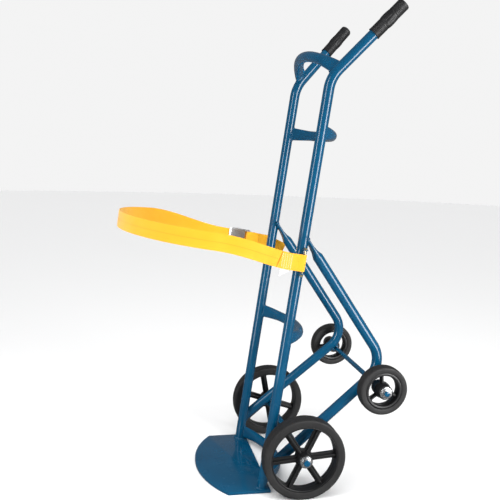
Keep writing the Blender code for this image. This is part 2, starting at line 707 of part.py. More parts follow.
BUCKLE_BACK = 0.118              # buckle's middle, in front of the far bolt
BASE_TOP = 0.0028
STRAP_LIFT = BASE_TOP + 2.0 * GAP + STRAP_THICKNESS / 2.0
TAIL = (                         # (in front of the bolt, out from the plane, droop)
    (0.0950, 0.0092, 0.0), (0.0860, 0.0124, 0.0), (0.0740, 0.0146, 0.0), (0.0550, 0.0166, 0.001),
    (0.0350, 0.0188, 0.003), (0.0150, 0.0220, 0.006), (-0.0050, 0.0266, 0.010), (-0.0250, 0.0334, 0.016),
    (-0.0420, 0.0415, 0.023),
)
strap_path += [far_point(back, STRAP_LIFT) for back in (0.158, 0.140, 0.122, 0.106)]
strap_path += [far_point(*place) for place in TAIL]
ribbon("strap_webbing", strap_path, WEBBING)

TAG_LENGTH = 0.036
tag_path = [near_point(0.090 - TAG_LENGTH * step / 3.0, -STRAP_THICKNESS / 2.0 - GAP - 0.0003) for step in range(4)]
for place in tag_path:
    place.z -= 0.026
ribbon("strap_tag", tag_path, TAG, width=0.030, thickness=0.0006)

# ---------------------------------------------------------------- cam buckle
BUCKLE = Matrix.Translation(far_point(BUCKLE_BACK, GAP)) @ Matrix((
    (far_rearward.x, 0.0, far_outward.x), (far_rearward.y, 0.0, far_outward.y), (0.0, -1.0, 0.0))).to_4x4()
STAND = Matrix.Rotation(math.pi / 2.0, 4, "X")   # turns a flat outline up on its edge

EAR_INNER = 0.0270
EAR_OUTER = 0.0295
PIN_R = 0.0030
CAM_PIN = (-0.0080, 0.0132)
ANCHOR_PIN = (0.0320, 0.0053)
CAM_HALF = 0.0235
EAR_OUTLINE = [(-0.030, 0.0), (0.038, 0.0), (0.038, 0.0100), (0.030, 0.0112), (0.012, 0.0160), (-0.001, 0.0210),
               (-0.015, 0.0210), (-0.030, 0.0080)]

buckle_frame = box("buckle_frame", (-0.035, -0.0284, 0.0003), (0.022, 0.0284, BASE_TOP), ZINC, BUCKLE)
holes = [circle(*CAM_PIN, PIN_R + GAP, 16), circle(*ANCHOR_PIN, PIN_R + GAP, 16)]
for low, high in ((EAR_INNER, EAR_OUTER), (-EAR_OUTER, -EAR_INNER)):
    ear = add("ear", slab_mesh("ear", [EAR_OUTLINE] + holes, low, high), ZINC, BUCKLE @ STAND, group=tools)
    boolean(buckle_frame, ear, "UNION")

for name, (x, z) in (("buckle_cam_pin", CAM_PIN), ("buckle_anchor_pin", ANCHOR_PIN)):
    at = BUCKLE @ Matrix.Translation((x, 0.0, z)) @ STAND
    head = EAR_OUTER + GAP
    outline = [(PIN_R - 0.001, head + 0.0016), (0.0046, head + 0.0010), (0.0046, head), (PIN_R, head),
               (PIN_R, -head), (0.0046, -head), (0.0046, -head - 0.0010), (PIN_R - 0.001, -head - 0.0016),
               (0.0, -head - 0.0016), (0.0, head + 0.0016)]
    lathe(name, outline, 14, ZINC, at)

# The cam's outline about its pin: (angle from straight down towards the bolt, radius).
CAM_SWEEP = ((-60, 0.0064), (-35, 0.0070), (-15, 0.0076), (0, 0.0080), (12, 0.0082), (25, 0.0085), (45, 0.0075),
             (80, 0.0065), (120, 0.0060), (160, 0.0058))
LEVER_RISE = math.radians(35.0)
LEVER_REACH = 0.044
lever_along = Vector((-math.cos(LEVER_RISE), math.sin(LEVER_RISE)))
lever_up = Vector((math.sin(LEVER_RISE), math.cos(LEVER_RISE)))
cam_outline = [(r * math.sin(math.radians(a)), -r * math.cos(math.radians(a))) for a, r in CAM_SWEEP]
for reach, lift in ((0.008, 0.0034), (LEVER_REACH - 0.004, 0.0022), (LEVER_REACH, 0.0004),
                    (LEVER_REACH - 0.001, -0.0010), (0.010, -0.0022)):
    cam_outline.append(tuple(lever_along * reach + lever_up * lift))
cam_hole = circle(0.0, 0.0, PIN_R + GAP, 16)
add("buckle_cam_lever", slab_mesh("buckle_cam_lever", [cam_outline, cam_hole], -CAM_HALF, CAM_HALF), ZINC,
    BUCKLE @ Matrix.Translation((CAM_PIN[0], 0.0, CAM_PIN[1])) @ STAND)

# Return spring, three turns of wire round the cam pin between the cam and one ear.
SPRING_TURNS = 3
SPRING_STEPS = 10
coil = bpy.data.curves.new("buckle_spring", "CURVE")
coil.dimensions = "3D"
coil.bevel_depth = 0.0004
coil.bevel_resolution = 0
coil.use_fill_caps = True
spline = coil.splines.new("POLY")
count = SPRING_TURNS * SPRING_STEPS + 1
spline.points.add(count - 1)
for index, point in enumerate(spline.points):
    turn = 2.0 * math.pi * index / SPRING_STEPS
    height = CAM_HALF + 0.0008 + 0.0020 * index / (count - 1)
    point.co = (0.0041 * math.cos(turn), 0.0041 * math.sin(turn), height, 1.0)
holder = bpy.data.objects.new("coil", coil)
spring = bpy.data.meshes.new_from_object(holder)
bpy.data.objects.remove(holder)
shape = bmesh.new()
shape.from_mesh(spring)
bmesh.ops.remove_doubles(shape, verts=shape.verts, dist=0.00001)
shape.to_mesh(spring)
shape.free()
add("buckle_spring", spring, BUSH_STEEL, BUCKLE @ Matrix.Translation((CAM_PIN[0], 0.0, CAM_PIN[1])) @ STAND)

# Short strap: one loop of webbing round the far bolt and the buckle's anchor pin, its
# ends butted under the middle.
PIN_LOOP_R = PIN_R + GAP + STRAP_THICKNESS / 2.0 + 0.0001
HALF_LAYER = (STRAP_THICKNESS + GAP) / 2.0
BOLT_TO_PIN = BUCKLE_BACK - ANCHOR_PIN[0]
PIN_OUT = ANCHOR_PIN[1] + GAP
LOOP_STEPS = 8


def short_point(forward, out):
    """A point by its distance in front of the far bolt and out from the line bolt to pin."""
    return far_point(forward, out + PIN_OUT * forward / BOLT_TO_PIN)


middle = BOLT_TO_PIN / 2.0
turns = [math.pi * step / LOOP_STEPS - math.pi / 2.0 for step in range(LOOP_STEPS + 1)]
short_path = [short_point(middle, -HALF_LAYER), short_point(0.030, -HALF_LAYER), short_point(0.012, -0.0038)]
short_path += [short_point(-STRAP_LOOP_R * math.cos(t), STRAP_LOOP_R * math.sin(t)) for t in turns]
short_path += [short_point(0.012, 0.0038), short_point(0.030, HALF_LAYER), short_point(BOLT_TO_PIN - 0.022, HALF_LAYER),
               short_point(BOLT_TO_PIN - 0.010, 0.0026)]
short_path += [short_point(BOLT_TO_PIN + PIN_LOOP_R * math.cos(t), -PIN_LOOP_R * math.sin(t)) for t in turns]
short_path += [short_point(BOLT_TO_PIN - 0.010, -0.0026), short_point(BOLT_TO_PIN - 0.022, -HALF_LAYER),
               short_point(middle + 0.001, -HALF_LAYER)]
ribbon("short_strap", short_path, WEBBING)
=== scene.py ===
"""Looks for the drum truck: bent blue tube, moulded wheels, ribbed grips and a webbing strap."""

import json
import math
import random

import bmesh
import bpy
from mathutils import Matrix, Vector


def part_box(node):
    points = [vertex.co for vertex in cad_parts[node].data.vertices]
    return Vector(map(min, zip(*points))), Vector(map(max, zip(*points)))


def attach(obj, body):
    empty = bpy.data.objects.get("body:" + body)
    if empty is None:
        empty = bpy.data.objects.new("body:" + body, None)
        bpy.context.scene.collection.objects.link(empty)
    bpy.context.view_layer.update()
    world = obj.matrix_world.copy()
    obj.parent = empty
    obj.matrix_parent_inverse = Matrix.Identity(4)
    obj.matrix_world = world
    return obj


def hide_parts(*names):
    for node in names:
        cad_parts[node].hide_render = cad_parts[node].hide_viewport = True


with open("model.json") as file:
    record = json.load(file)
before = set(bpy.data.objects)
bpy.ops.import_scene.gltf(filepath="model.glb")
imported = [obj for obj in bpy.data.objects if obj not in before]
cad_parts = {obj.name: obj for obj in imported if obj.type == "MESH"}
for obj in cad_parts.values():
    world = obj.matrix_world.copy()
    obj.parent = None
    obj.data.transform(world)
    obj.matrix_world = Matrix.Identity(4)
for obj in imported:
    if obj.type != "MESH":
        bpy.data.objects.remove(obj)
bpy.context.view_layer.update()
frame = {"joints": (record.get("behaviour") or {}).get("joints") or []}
random.seed(7)

# ---------------------------------------------------------------- places, from the frame
JOINTS = {joint["name"]: joint for joint in frame["joints"]}
FRONT_HUB = Vector(JOINTS["front_left_roll"]["pos_m"])
REAR_HUB = Vector(JOINTS["rear_left_roll"]["pos_m"])
TRUCK_UP = Vector(JOINTS["buckle_cam_press"]["axis"]).normalized()
LEAN = math.atan2(TRUCK_UP.y, TRUCK_UP.z)
FRONT_AXLE = Vector((0.0, 0.0967, 0.1379))
LIFT = FRONT_HUB.z + FRONT_AXLE.y * math.sin(LEAN) - FRONT_AXLE.z * math.cos(LEAN)
TRUCK = Matrix.Translation((0.0, 0.0, LIFT)) @ Matrix.Rotation(-LEAN, 4, "X")
PLATE_LOW, PLATE_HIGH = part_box("toe_plate")
TUBE_R = 0.015875
RAIL_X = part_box("left_rail")[0].x + TUBE_R
SIDES = (("left", 1.0), ("right", -1.0))
UPRIGHT = Vector((0.0, 0.0, 1.0))
GAP = 0.0003          # air between parts that touch


# ---------------------------------------------------------------- procedural materials
class Surface:
    """A Principled material and the few nodes that give it its grain."""

    def __init__(self, name, **sockets):
        self.material = bpy.data.materials.new(name)
        self.material.use_nodes = True
        self.tree = self.material.node_tree
        self.shader = self.tree.nodes["Principled BSDF"]
        for socket, value in sockets.items():
            self.shader.inputs[socket.replace("_", " ")].default_value = value
        self.place = self.add("ShaderNodeTexCoord").outputs["Object"]

    def add(self, kind, **settings):
        made = self.tree.nodes.new(kind)
        for key, value in settings.items():
            setattr(made, key, value)
        return made

    def put(self, value, socket):
        if isinstance(value, (int, float, tuple)):
            socket.default_value = value
        else:
            self.tree.links.new(value, socket)

    def math(self, operation, first, second=0.0, third=None):
        made = self.add("ShaderNodeMath", operation=operation)
        self.put(first, made.inputs[0])
        self.put(second, made.inputs[1])
        if third is not None:
            self.put(third, made.inputs[2])
        return made.outputs[0]

    def noise(self, scale, detail=3.0, rough=0.55, place=None):
        made = self.add("ShaderNodeTexNoise")
        made.inputs["Scale"].default_value = scale
        made.inputs["Detail"].default_value = detail
        made.inputs["Roughness"].default_value = rough
        self.put(place or self.place, made.inputs["Vector"])
        return made.outputs[0]

    def stretched(self, scale):
        made = self.add("ShaderNodeMapping")
        made.inputs["Scale"].default_value = scale
        self.put(self.place, made.inputs["Vector"])
        return made.outputs[0]

    def ramp(self, factor, *stops):
        made = self.add("ShaderNodeValToRGB")
        ramp = made.color_ramp
        while len(ramp.elements) < len(stops):
            ramp.elements.new(0.5)
        for element, (place, colour) in zip(ramp.elements, stops):
            element.position = place
            element.color = (*colour, 1.0) if isinstance(colour, tuple) else (colour, colour, colour, 1.0)
        self.put(factor, made.inputs[0])
        return made.outputs[0]

    def mix(self, factor, first, second):
        made = self.add("ShaderNodeMix", data_type="RGBA")
        self.put(factor, made.inputs[0])
        for value, socket in ((first, made.inputs[6]), (second, made.inputs[7])):
            self.put((*value, 1.0) if isinstance(value, tuple) else value, socket)
        return made.outputs[2]

    def colour(self, value):
        self.put(value, self.shader.inputs["Base Color"])

    def rough(self, value):
        self.put(value, self.shader.inputs["Roughness"])

    def bump(self, *layers):
        """Each layer is a height, its strength and its depth in metres."""
        normal = None
        for height, strength, depth in layers:
            made = self.add("ShaderNodeBump")
            made.inputs["Strength"].default_value = strength
            made.inputs["Distance"].default_value = depth
            self.put(height, made.inputs["Height"])
            if normal:
                self.put(normal, made.inputs["Normal"])
            normal = made.outputs[0]
        self.put(normal, self.shader.inputs["Normal"])


def blue_paint():
    """Gloss enamel with a slight orange peel, thin cloudy patches and a few dull scuffs."""
    s = Surface("blue_enamel", Coat_Weight=0.9, Coat_Roughness=0.11, Specular_IOR_Level=0.12)
    cloud = s.noise(7.0, 3.0)
    base = s.ramp(cloud, (0.30, (0.0004, 0.050, 0.112)), (0.72, (0.0007, 0.064, 0.138)))
    scuff = s.ramp(s.noise(60.0, 7.0, 0.66, s.stretched((1.0, 1.0, 0.35))), (0.665, 0.0), (0.735, 1.0))
    patch = s.ramp(s.noise(4.2, 2.0), (0.50, 0.0), (0.66, 1.0))
    worn = s.math("MULTIPLY", scuff, patch)
    s.colour(s.mix(s.math("MULTIPLY", worn, 0.40), base, (0.030, 0.105, 0.190)))
    gloss = s.ramp(s.noise(34.0, 4.0), (0.35, 0.20), (0.70, 0.30))
    s.rough(s.math("ADD", gloss, s.math("MULTIPLY", worn, 0.25)))
    s.bump((s.noise(90.0, 1.0), 0.035, 0.0002), (s.noise(24.0, 1.0), 0.05, 0.0004))
    return s.material


def tyre_rubber():
    """Solid black rubber, greyer where floor dust has caught on it."""
    s = Surface("tyre_rubber", Specular_IOR_Level=0.40)
    dust = s.ramp(s.noise(22.0, 6.0, 0.62), (0.48, 0.0), (0.80, 1.0))
    base = s.ramp(s.noise(9.0, 3.0), (0.35, (0.0110, 0.0108, 0.0112)), (0.70, (0.0170, 0.0166, 0.0170)))
    s.colour(s.mix(s.math("MULTIPLY", dust, 0.30), base, (0.034, 0.033, 0.031)))
    s.rough(s.ramp(s.noise(70.0, 4.0), (0.30, 0.50), (0.72, 0.72)))
    s.bump((s.noise(380.0, 2.0), 0.05, 0.0001), (s.noise(70.0, 2.0), 0.08, 0.0003))
    return s.material


def grip_rubber():
    """Soft moulded vinyl with a fine satin grain."""
    s = Surface("grip_vinyl", Specular_IOR_Level=0.45)
    s.colour(s.ramp(s.noise(40.0, 4.0), (0.35, (0.0060, 0.0060, 0.0066)), (0.75, (0.0120, 0.0120, 0.0130))))
    s.rough(s.ramp(s.noise(85.0, 4.0), (0.30, 0.40), (0.72, 0.58)))
    s.bump((s.noise(420.0, 1.0), 0.030, 0.0001), (s.noise(90.0, 1.0), 0.05, 0.0002))
    return s.material


def wheel_plastic():
    """Black moulded nylon, satin, with a faint spark-eroded texture."""
    s = Surface("wheel_nylon", Specular_IOR_Level=0.50)
    s.colour(s.ramp(s.noise(16.0, 4.0), (0.35, (0.0052, 0.0053, 0.0058)), (0.75, (0.0095, 0.0096, 0.0104))))
    s.rough(s.ramp(s.noise(60.0, 4.0), (0.30, 0.30), (0.72, 0.46)))
    s.bump((s.noise(420.0, 2.0), 0.04, 0.0001), (s.noise(60.0, 2.0), 0.06, 0.0003))
    return s.material


def zinc():
    """Bright zinc plate, faintly blue, with barrel-plated mottling and hairline marks."""
    s = Surface("bright_zinc", Metallic=1.0)
    tone = s.noise(240.0, 4.0)
    s.colour(s.ramp(tone, (0.30, (0.62, 0.64, 0.67)), (0.52, (0.74, 0.75, 0.76)), (0.75, (0.82, 0.81, 0.79))))
    s.rough(s.ramp(s.noise(420.0, 5.0), (0.30, 0.20), (0.72, 0.38)))
    s.bump((s.noise(900.0, 3.0, 0.6, s.stretched((0.15, 1.0, 1.0))), 0.14, 0.0002))
    return s.material


def yellow_zinc():
    """Yellow chromate zinc, drifting from straw to a little pink and green."""
    s = Surface("yellow_chromate", Metallic=1.0)
    s.colour(s.ramp(s.noise(130.0, 3.0), (0.28, (0.60, 0.44, 0.22)), (0.45, (0.76, 0.64, 0.38)),
                    (0.60, (0.70, 0.66, 0.42)), (0.78, (0.74, 0.56, 0.42))))
    s.rough(s.ramp(s.noise(300.0, 4.0), (0.30, 0.22), (0.72, 0.36)))
    s.bump((s.noise(800.0, 3.0), 0.10, 0.0002))
    return s.material


def bush_steel():
    """Plain oiled steel, turned."""
    s = Surface("oiled_steel", Metallic=1.0)
    s.colour(s.ramp(s.noise(150.0, 4.0), (0.30, (0.30, 0.30, 0.31)), (0.75, (0.48, 0.48, 0.48))))
    s.rough(s.ramp(s.noise(300.0, 4.0), (0.30, 0.26), (0.75, 0.42)))
    s.bump((s.noise(700.0, 3.0, 0.6, s.stretched((1.0, 0.2, 0.2))), 0.15, 0.0002))
    return s.material


def webbing():
    """Yellow polyester webbing: slanting ribs that meet in a herringbone, bound edges and
    one orange tracer thread along the middle of the outer face.

    The strap's own map runs in millimetres: U along it, V across it, with the back face's V
    shifted by 100.
    """
    s = Surface("yellow_webbing", Sheen_Weight=0.35, Sheen_Roughness=0.45, Specular_IOR_Level=0.25)
    split = s.add("ShaderNodeSeparateXYZ")
    s.put(s.add("ShaderNodeUVMap", uv_map="weave").outputs[0], split.inputs[0])
    along, across = split.outputs[0], split.outputs[1]
    local = s.math("WRAP", across, 100.0, 0.0)
    zig = s.math("PINGPONG", local, 5.0)
    slant = s.math("ADD", along, s.math("MULTIPLY", zig, 0.9))
    rib = s.math("SINE", s.math("MULTIPLY", slant, 2.0 * math.pi / 1.7))
    pick = s.math("SINE", s.math("MULTIPLY", local, 2.0 * math.pi / 1.25))
    weave = s.math("MULTIPLY_ADD", rib, 0.30, 0.5)
    height = s.math("ADD", weave, s.math("MULTIPLY", pick, 0.16))
    # colour follows the weave's height: painted shade in its grooves and a painted highlight on the tops of
    # its ribs
    weave_painted_shade = s.ramp(height, (0.15, (0.62, 0.265, 0.004)), (0.55, (0.80, 0.385, 0.008)),
                   (0.90, (0.86, 0.450, 0.016)))
    fade = s.ramp(s.noise(14.0, 5.0, 0.6), (0.38, 0.0), (0.78, 1.0))
    # random fading towards a paler, worn yellow, laid over the painted groove shade and rib highlight
    worn = s.mix(s.math("MULTIPLY", fade, 0.30), weave_painted_shade, (0.85, 0.480, 0.040))
    centre = s.math("COMPARE", across, 125.0, 0.75)
    traced = s.mix(s.math("MULTIPLY", centre, 0.70), worn, (0.78, 0.22, 0.004))
    s.colour(traced)
    s.rough(s.ramp(s.noise(500.0, 3.0), (0.30, 0.62), (0.72, 0.84)))
    s.bump((height, 0.55, 0.0004), (s.noise(1800.0, 3.0), 0.18, 0.0002))
    return s.material


def thread(name, colour):
    """Bonded sewing thread, twisted."""
    s = Surface(name, Sheen_Weight=0.3, Specular_IOR_Level=0.3)
    dark = tuple(0.78 * value for value in colour)
    s.colour(s.ramp(s.noise(900.0, 3.0), (0.35, dark), (0.65, colour)))
    s.rough(s.ramp(s.noise(700.0, 2.0), (0.3, 0.5), (0.7, 0.72)))
    s.bump((s.noise(1600.0, 2.0), 0.3, 0.0002))
    return s.material


def tag_cloth():
    """White satin label cloth with a fine rib."""
    s = Surface("white_satin", Sheen_Weight=0.2, Specular_IOR_Level=0.35)
    split = s.add("ShaderNodeSeparateXYZ")
    s.put(s.add("ShaderNodeUVMap", uv_map="weave").outputs[0], split.inputs[0])
    rib = s.math("SINE", s.math("MULTIPLY", split.outputs[1], 2.0 * math.pi / 0.6))
    s.colour(s.ramp(s.noise(90.0, 4.0), (0.35, (0.66, 0.66, 0.655)), (0.70, (0.82, 0.82, 0.81))))
    s.rough(s.ramp(s.noise(300.0, 3.0), (0.3, 0.46), (0.7, 0.60)))
    s.bump((rib, 0.30, 0.0001), (s.noise(400.0, 3.0), 0.15, 0.0003))
    return s.material


SURFACES = {
    "blue_gloss_paint": blue_paint(), "black_rubber": tyre_rubber(), "grip_rubber": grip_rubber(),
    "black_plastic": wheel_plastic(), "zinc_plate": zinc(), "yellow_zinc_plate": yellow_zinc(),
    "bush_steel": bush_steel(), "yellow_webbing": webbing(), "white_tag": tag_cloth(),
}
WHITE_THREAD = thread("white_thread", (0.86, 0.85, 0.76))
SEALED_EDGE = thread("heat_sealed_edge", (0.86, 0.27, 0.004))


# ---------------------------------------------------------------- pieces
def piece(name, mesh, slot, body="frame", matrix=None, nodes=(), surface=None, sharp=35.0):
    """Puts a mesh in the scene, riding on a body and standing for the named nodes."""
    obj = bpy.data.objects.new(name, mesh)
    bpy.context.scene.collection.objects.link(obj)
    if matrix is not None:
        mesh.transform(matrix)
        if matrix.determinant() < 0.0:
            mesh.flip_normals()
    mesh.materials.clear()
    mesh.materials.append(surface or SURFACES[slot])
    mesh.polygons.foreach_set("use_smooth", [True] * len(mesh.polygons))
    mesh.set_sharp_from_angle(angle=math.radians(sharp))
    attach(obj, body)
    if nodes:
        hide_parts(*nodes)
    return obj


def mesh_from(name, vertices, faces):
    mesh = bpy.data.meshes.new(name)
    mesh.from_pydata([tuple(v) for v in vertices], [], faces)
    return mesh


def face_outwards(mesh, weld=None, lift=0.0):
    """Turns every face outwards, after welding points closer than weld and raising them by lift."""
    shape = bmesh.new()
    shape.from_mesh(mesh)
    if weld:
        bmesh.ops.remove_doubles(shape, verts=shape.verts, dist=weld)
    if lift:
        bmesh.ops.translate(shape, vec=(0.0, 0.0, lift), verts=shape.verts)
    bmesh.ops.recalc_face_normals(shape, faces=shape.faces)
    shape.to_mesh(mesh)
    shape.free()


def turns(steps):
    """Equal angles round a full turn."""
    return [2.0 * math.pi * step / steps for step in range(steps)]


def level_ring(radius, height, steps):
    return [Vector((radius * math.cos(t), radius * math.sin(t), height)) for t in turns(steps)]


def cord_ring(centre, side, up, radius, steps=10):
    """A round cross-section of a bead, a thread or a wire."""
    return [centre + (side * math.cos(t) + up * math.sin(t)) * radius for t in turns(steps)]


def symmetric(half):
    """An outline of (radius, height) points and its mirror image below height 0."""
    return half + [(radius, -height) for radius, height in reversed(half)]


def quad(row, after, step, right, sides):
    """A face between steps step and right of two rows of a skin."""
    return row * sides + step, row * sides + right, after * sides + right, after * sides + step


def loops_mesh(name, loops, closed=False):
    """Skins a row of equal loops, closed end to end or capped."""
    sides = len(loops[0])
    vertices = [p for loop in loops for p in loop]
    faces = []
    for row in range(len(loops) if closed else len(loops) - 1):
        after = (row + 1) % len(loops)
        for step in range(sides):
            faces.append(quad(row, after, step, (step + 1) % sides, sides))
    if not closed:
        faces.append(tuple(reversed(range(sides))))
        last = (len(loops) - 1) * sides
        faces.append(tuple(range(last, last + sides)))
    return mesh_from(name, vertices, faces)


def lathe_mesh(name, profile, steps=96, close=True):
    """(radius, height) outline turned round Z. A closed outline gives a ring, an open one
    that starts and ends on the axis gives a solid."""
    loops = []
    for step in range(steps):
        turn = 2.0 * math.pi * step / steps
        loops.append([Vector((r * math.cos(turn), r * math.sin(turn), h)) for r, h in profile])
    sides = len(profile)
    vertices = [p for loop in loops for p in loop]
    faces = []
    for row in range(steps):
        after = (row + 1) % steps
        for step in range(sides if close else sides - 1):
            right = (step + 1) % sides
            faces.append((row * sides + step, after * sides + step,
                          after * sides + right, row * sides + right))
    mesh = mesh_from(name, vertices, faces)
    face_outwards(mesh, weld=1e-6)
    return mesh


def rounded(profile, radius, steps=3):
    """A closed (radius, height) outline with its corners rounded."""
    count = len(profile)
    result = []
    for index in range(count):
        before, corner, after = (Vector(profile[(index + shift) % count]) for shift in (-1, 0, 1))
        back = before - corner
        ahead = after - corner
        reach = min(radius, back.length * 0.45, ahead.length * 0.45)
        start = corner + back.normalized() * reach
        finish = corner + ahead.normalized() * reach
        for step in range(steps + 1):
            t = step / steps
            result.append(tuple(start * (1 - t) ** 2 + corner * (2 * t * (1 - t)) + finish * t * t))
    return result


def slab_mesh(name, outlines, low, high):
    """Closed 2D outlines, the first with the others as holes in it, given a thickness."""
    curve = bpy.data.curves.new(name, "CURVE")
    curve.dimensions = "2D"
    curve.fill_mode = "BOTH"
    curve.extrude = (high - low) / 2.0
    for outline in outlines:
        spline = curve.splines.new("POLY")
        spline.points.add(len(outline) - 1)
        for point, (x, y) in zip(spline.points, outline):
            point.co = (x, y, 0.0, 1.0)
        spline.use_cyclic_u = True
    holder = bpy.data.objects.new(name, curve)
    mesh = bpy.data.meshes.new_from_object(holder)
    bpy.data.objects.remove(holder)
    face_outwards(mesh, weld=1e-5, lift=(low + high) / 2.0)
    return mesh


BEVEL_ANGLE = math.radians(40.0)   # edges sharper than this are rounded


def bevelled(mesh, width, segments=2):
    shape = bmesh.new()
    shape.from_mesh(mesh)
    bmesh.ops.dissolve_limit(shape, angle_limit=math.radians(1.0), verts=shape.verts, edges=shape.edges)
    edges = [e for e in shape.edges if len(e.link_faces) == 2 and e.calc_face_angle() > BEVEL_ANGLE]
    bmesh.ops.bevel(shape, geom=edges, offset=width, segments=segments, profile=0.5, affect="EDGES",
                    clamp_overlap=True)
    shape.to_mesh(mesh)
    shape.free()
    return mesh


def combined(name, meshes, operation="UNION"):
    """One mesh that is the Boolean union, or the intersection, of several closed ones."""
    objects = [bpy.data.objects.new(f"{name}_{i}", mesh) for i, mesh in enumerate(meshes)]
    for obj in objects:
        bpy.context.scene.collection.objects.link(obj)
    for other in objects[1:]:
        change = objects[0].modifiers.new("join", "BOOLEAN")
        change.operation = operation
        change.object = other
        change.solver = "EXACT"
    graph = bpy.context.evaluated_depsgraph_get()
    made = bpy.data.meshes.new_from_object(objects[0].evaluated_get(graph))
    made.name = name
    for obj in objects:
        bpy.data.objects.remove(obj)
    return made


def circle(x, y, radius, steps):
    return [(x + radius * math.cos(t), y + radius * math.sin(t)) for t in turns(steps)]


def smooth(share):
    share = min(max(share, 0.0), 1.0)
    return share * share * (3.0 - 2.0 * share)


def mirrored(vector):
    return Vector((-vector.x, vector.y, vector.z))


def rounded_path(points, radius, steps):
    """A polyline's inner corners turned into arcs of one radius."""
    path = [points[0]]
    for before, corner, after in zip(points, points[1:], points[2:]):
        back = (before - corner).normalized()
        ahead = (after - corner).normalized()
        half = back.angle(ahead) / 2.0
        inward = (back + ahead).normalized()
        centre = corner + inward * (radius / math.sin(half))
        turn = math.pi - 2.0 * half
        side = (back - ahead).normalized()
        for step in range(steps + 1):
            angle = turn * (0.5 - step / steps)
            path.append(centre + radius * (side * math.sin(angle) - inward * math.cos(angle)))
    path.append(points[-1])
    return path


def directions(path):
    spans = [(b - a).normalized() for a, b in zip(path, path[1:])]
    middle = [(a + b).normalized() for a, b in zip(spans, spans[1:])]
    return [spans[0]] + middle + [spans[-1]]


def curved(points, spacing):
    """A Catmull-Rom curve through points, sampled about every spacing metres."""
    line = [points[0] * 2 - points[1]] + list(points) + [points[-1] * 2 - points[-2]]
    result = []
    for a, b, c, d in zip(line, line[1:], line[2:], line[3:]):
        steps = max(1, round((c - b).length / spacing))
        t0 = 0.0
        t1 = t0 + math.sqrt(max((b - a).length, 1e-9))
        t2 = t1 + math.sqrt(max((c - b).length, 1e-9))
        t3 = t2 + math.sqrt(max((d - c).length, 1e-9))
        for step in range(steps):
            t = t1 + (t2 - t1) * step / steps
            a1 = a * ((t1 - t) / (t1 - t0)) + b * ((t - t0) / (t1 - t0))
            a2 = b * ((t2 - t) / (t2 - t1)) + c * ((t - t1) / (t2 - t1))
            a3 = c * ((t3 - t) / (t3 - t2)) + d * ((t - t2) / (t3 - t2))
            b1 = a1 * ((t2 - t) / (t2 - t0)) + a2 * ((t - t0) / (t2 - t0))
            b2 = a2 * ((t3 - t) / (t3 - t1)) + a3 * ((t - t1) / (t3 - t1))
            result.append(b1 * ((t2 - t) / (t2 - t1)) + b2 * ((t - t1) / (t2 - t1)))
    result.append(points[-1])
    return result


# ---------------------------------------------------------------- tube
TUBE_SIDES = 56
TUBE_WALL = 0.00165
WELD_GAP = 0.0012
BEAD_R = 0.0026


def round_section(_place):
    return TUBE_R, TUBE_R, 2.0


def ring(centre, wide, thin, half_wide, half_thin, power, dent=0.0):
    """A closed cross-section; a higher power is flatter, and a dent sinks both flat faces."""
    points = []
    for step in range(TUBE_SIDES):
        angle = 2.0 * math.pi * (step + 0.5) / TUBE_SIDES
        across = math.copysign(abs(math.cos(angle)) ** (2.0 / power), math.cos(angle))
        along = math.copysign(abs(math.sin(angle)) ** (2.0 / power), math.sin(angle))
        along *= 1.0 - dent * (1.0 - across * across) ** 2
        points.append(centre + wide * (half_wide * across) + thin * (half_thin * along))
    return points


def reach_cylinder(start, heading, point, axis, radius):
    """Distance along heading to a cylinder's surface, or level with it where the line misses."""
    flat_heading = heading - axis * heading.dot(axis)
    offset = (start - point) - axis * (start - point).dot(axis)
    a = flat_heading.length_squared
    b = offset.dot(flat_heading)
    c = offset.length_squared - radius * radius
    return (-b - math.sqrt(max(b * b - a * c, 0.25 * a * radius * radius))) / a


def tube(name, path, places, first_side, section=round_section, trims=(None, None), dents=None):
    """A hollow tube swept along a path. Returns the outline of each of its ends."""
    tangents = directions(path)
    outer, inner = [], []
    wide = first_side
    for centre, tangent, place in zip(path, tangents, places):
        wide = (wide - tangent * wide.dot(tangent)).normalized()
        thin = tangent.cross(wide)
        half_wide, half_thin, power = section(place)
        dent = dents(place) if dents else 0.0
        outer.append(ring(centre, wide, thin, half_wide, half_thin, power, dent))
        inner.append(ring(centre, wide, thin, half_wide - TUBE_WALL, half_thin - TUBE_WALL, power))
    for end, heading, trim in ((0, -tangents[0], trims[0]), (-1, tangents[-1], trims[1])):
        if trim:
            for rings in (outer, inner):
                rings[end] = [p + heading * trim(p, heading) for p in rings[end]]
    mesh = loops_mesh(name, outer + list(reversed(inner)), closed=True)
    piece(f"{name}_steel", mesh, "blue_gloss_paint", matrix=TRUCK, nodes=(name,))
    return outer[0], outer[-1]


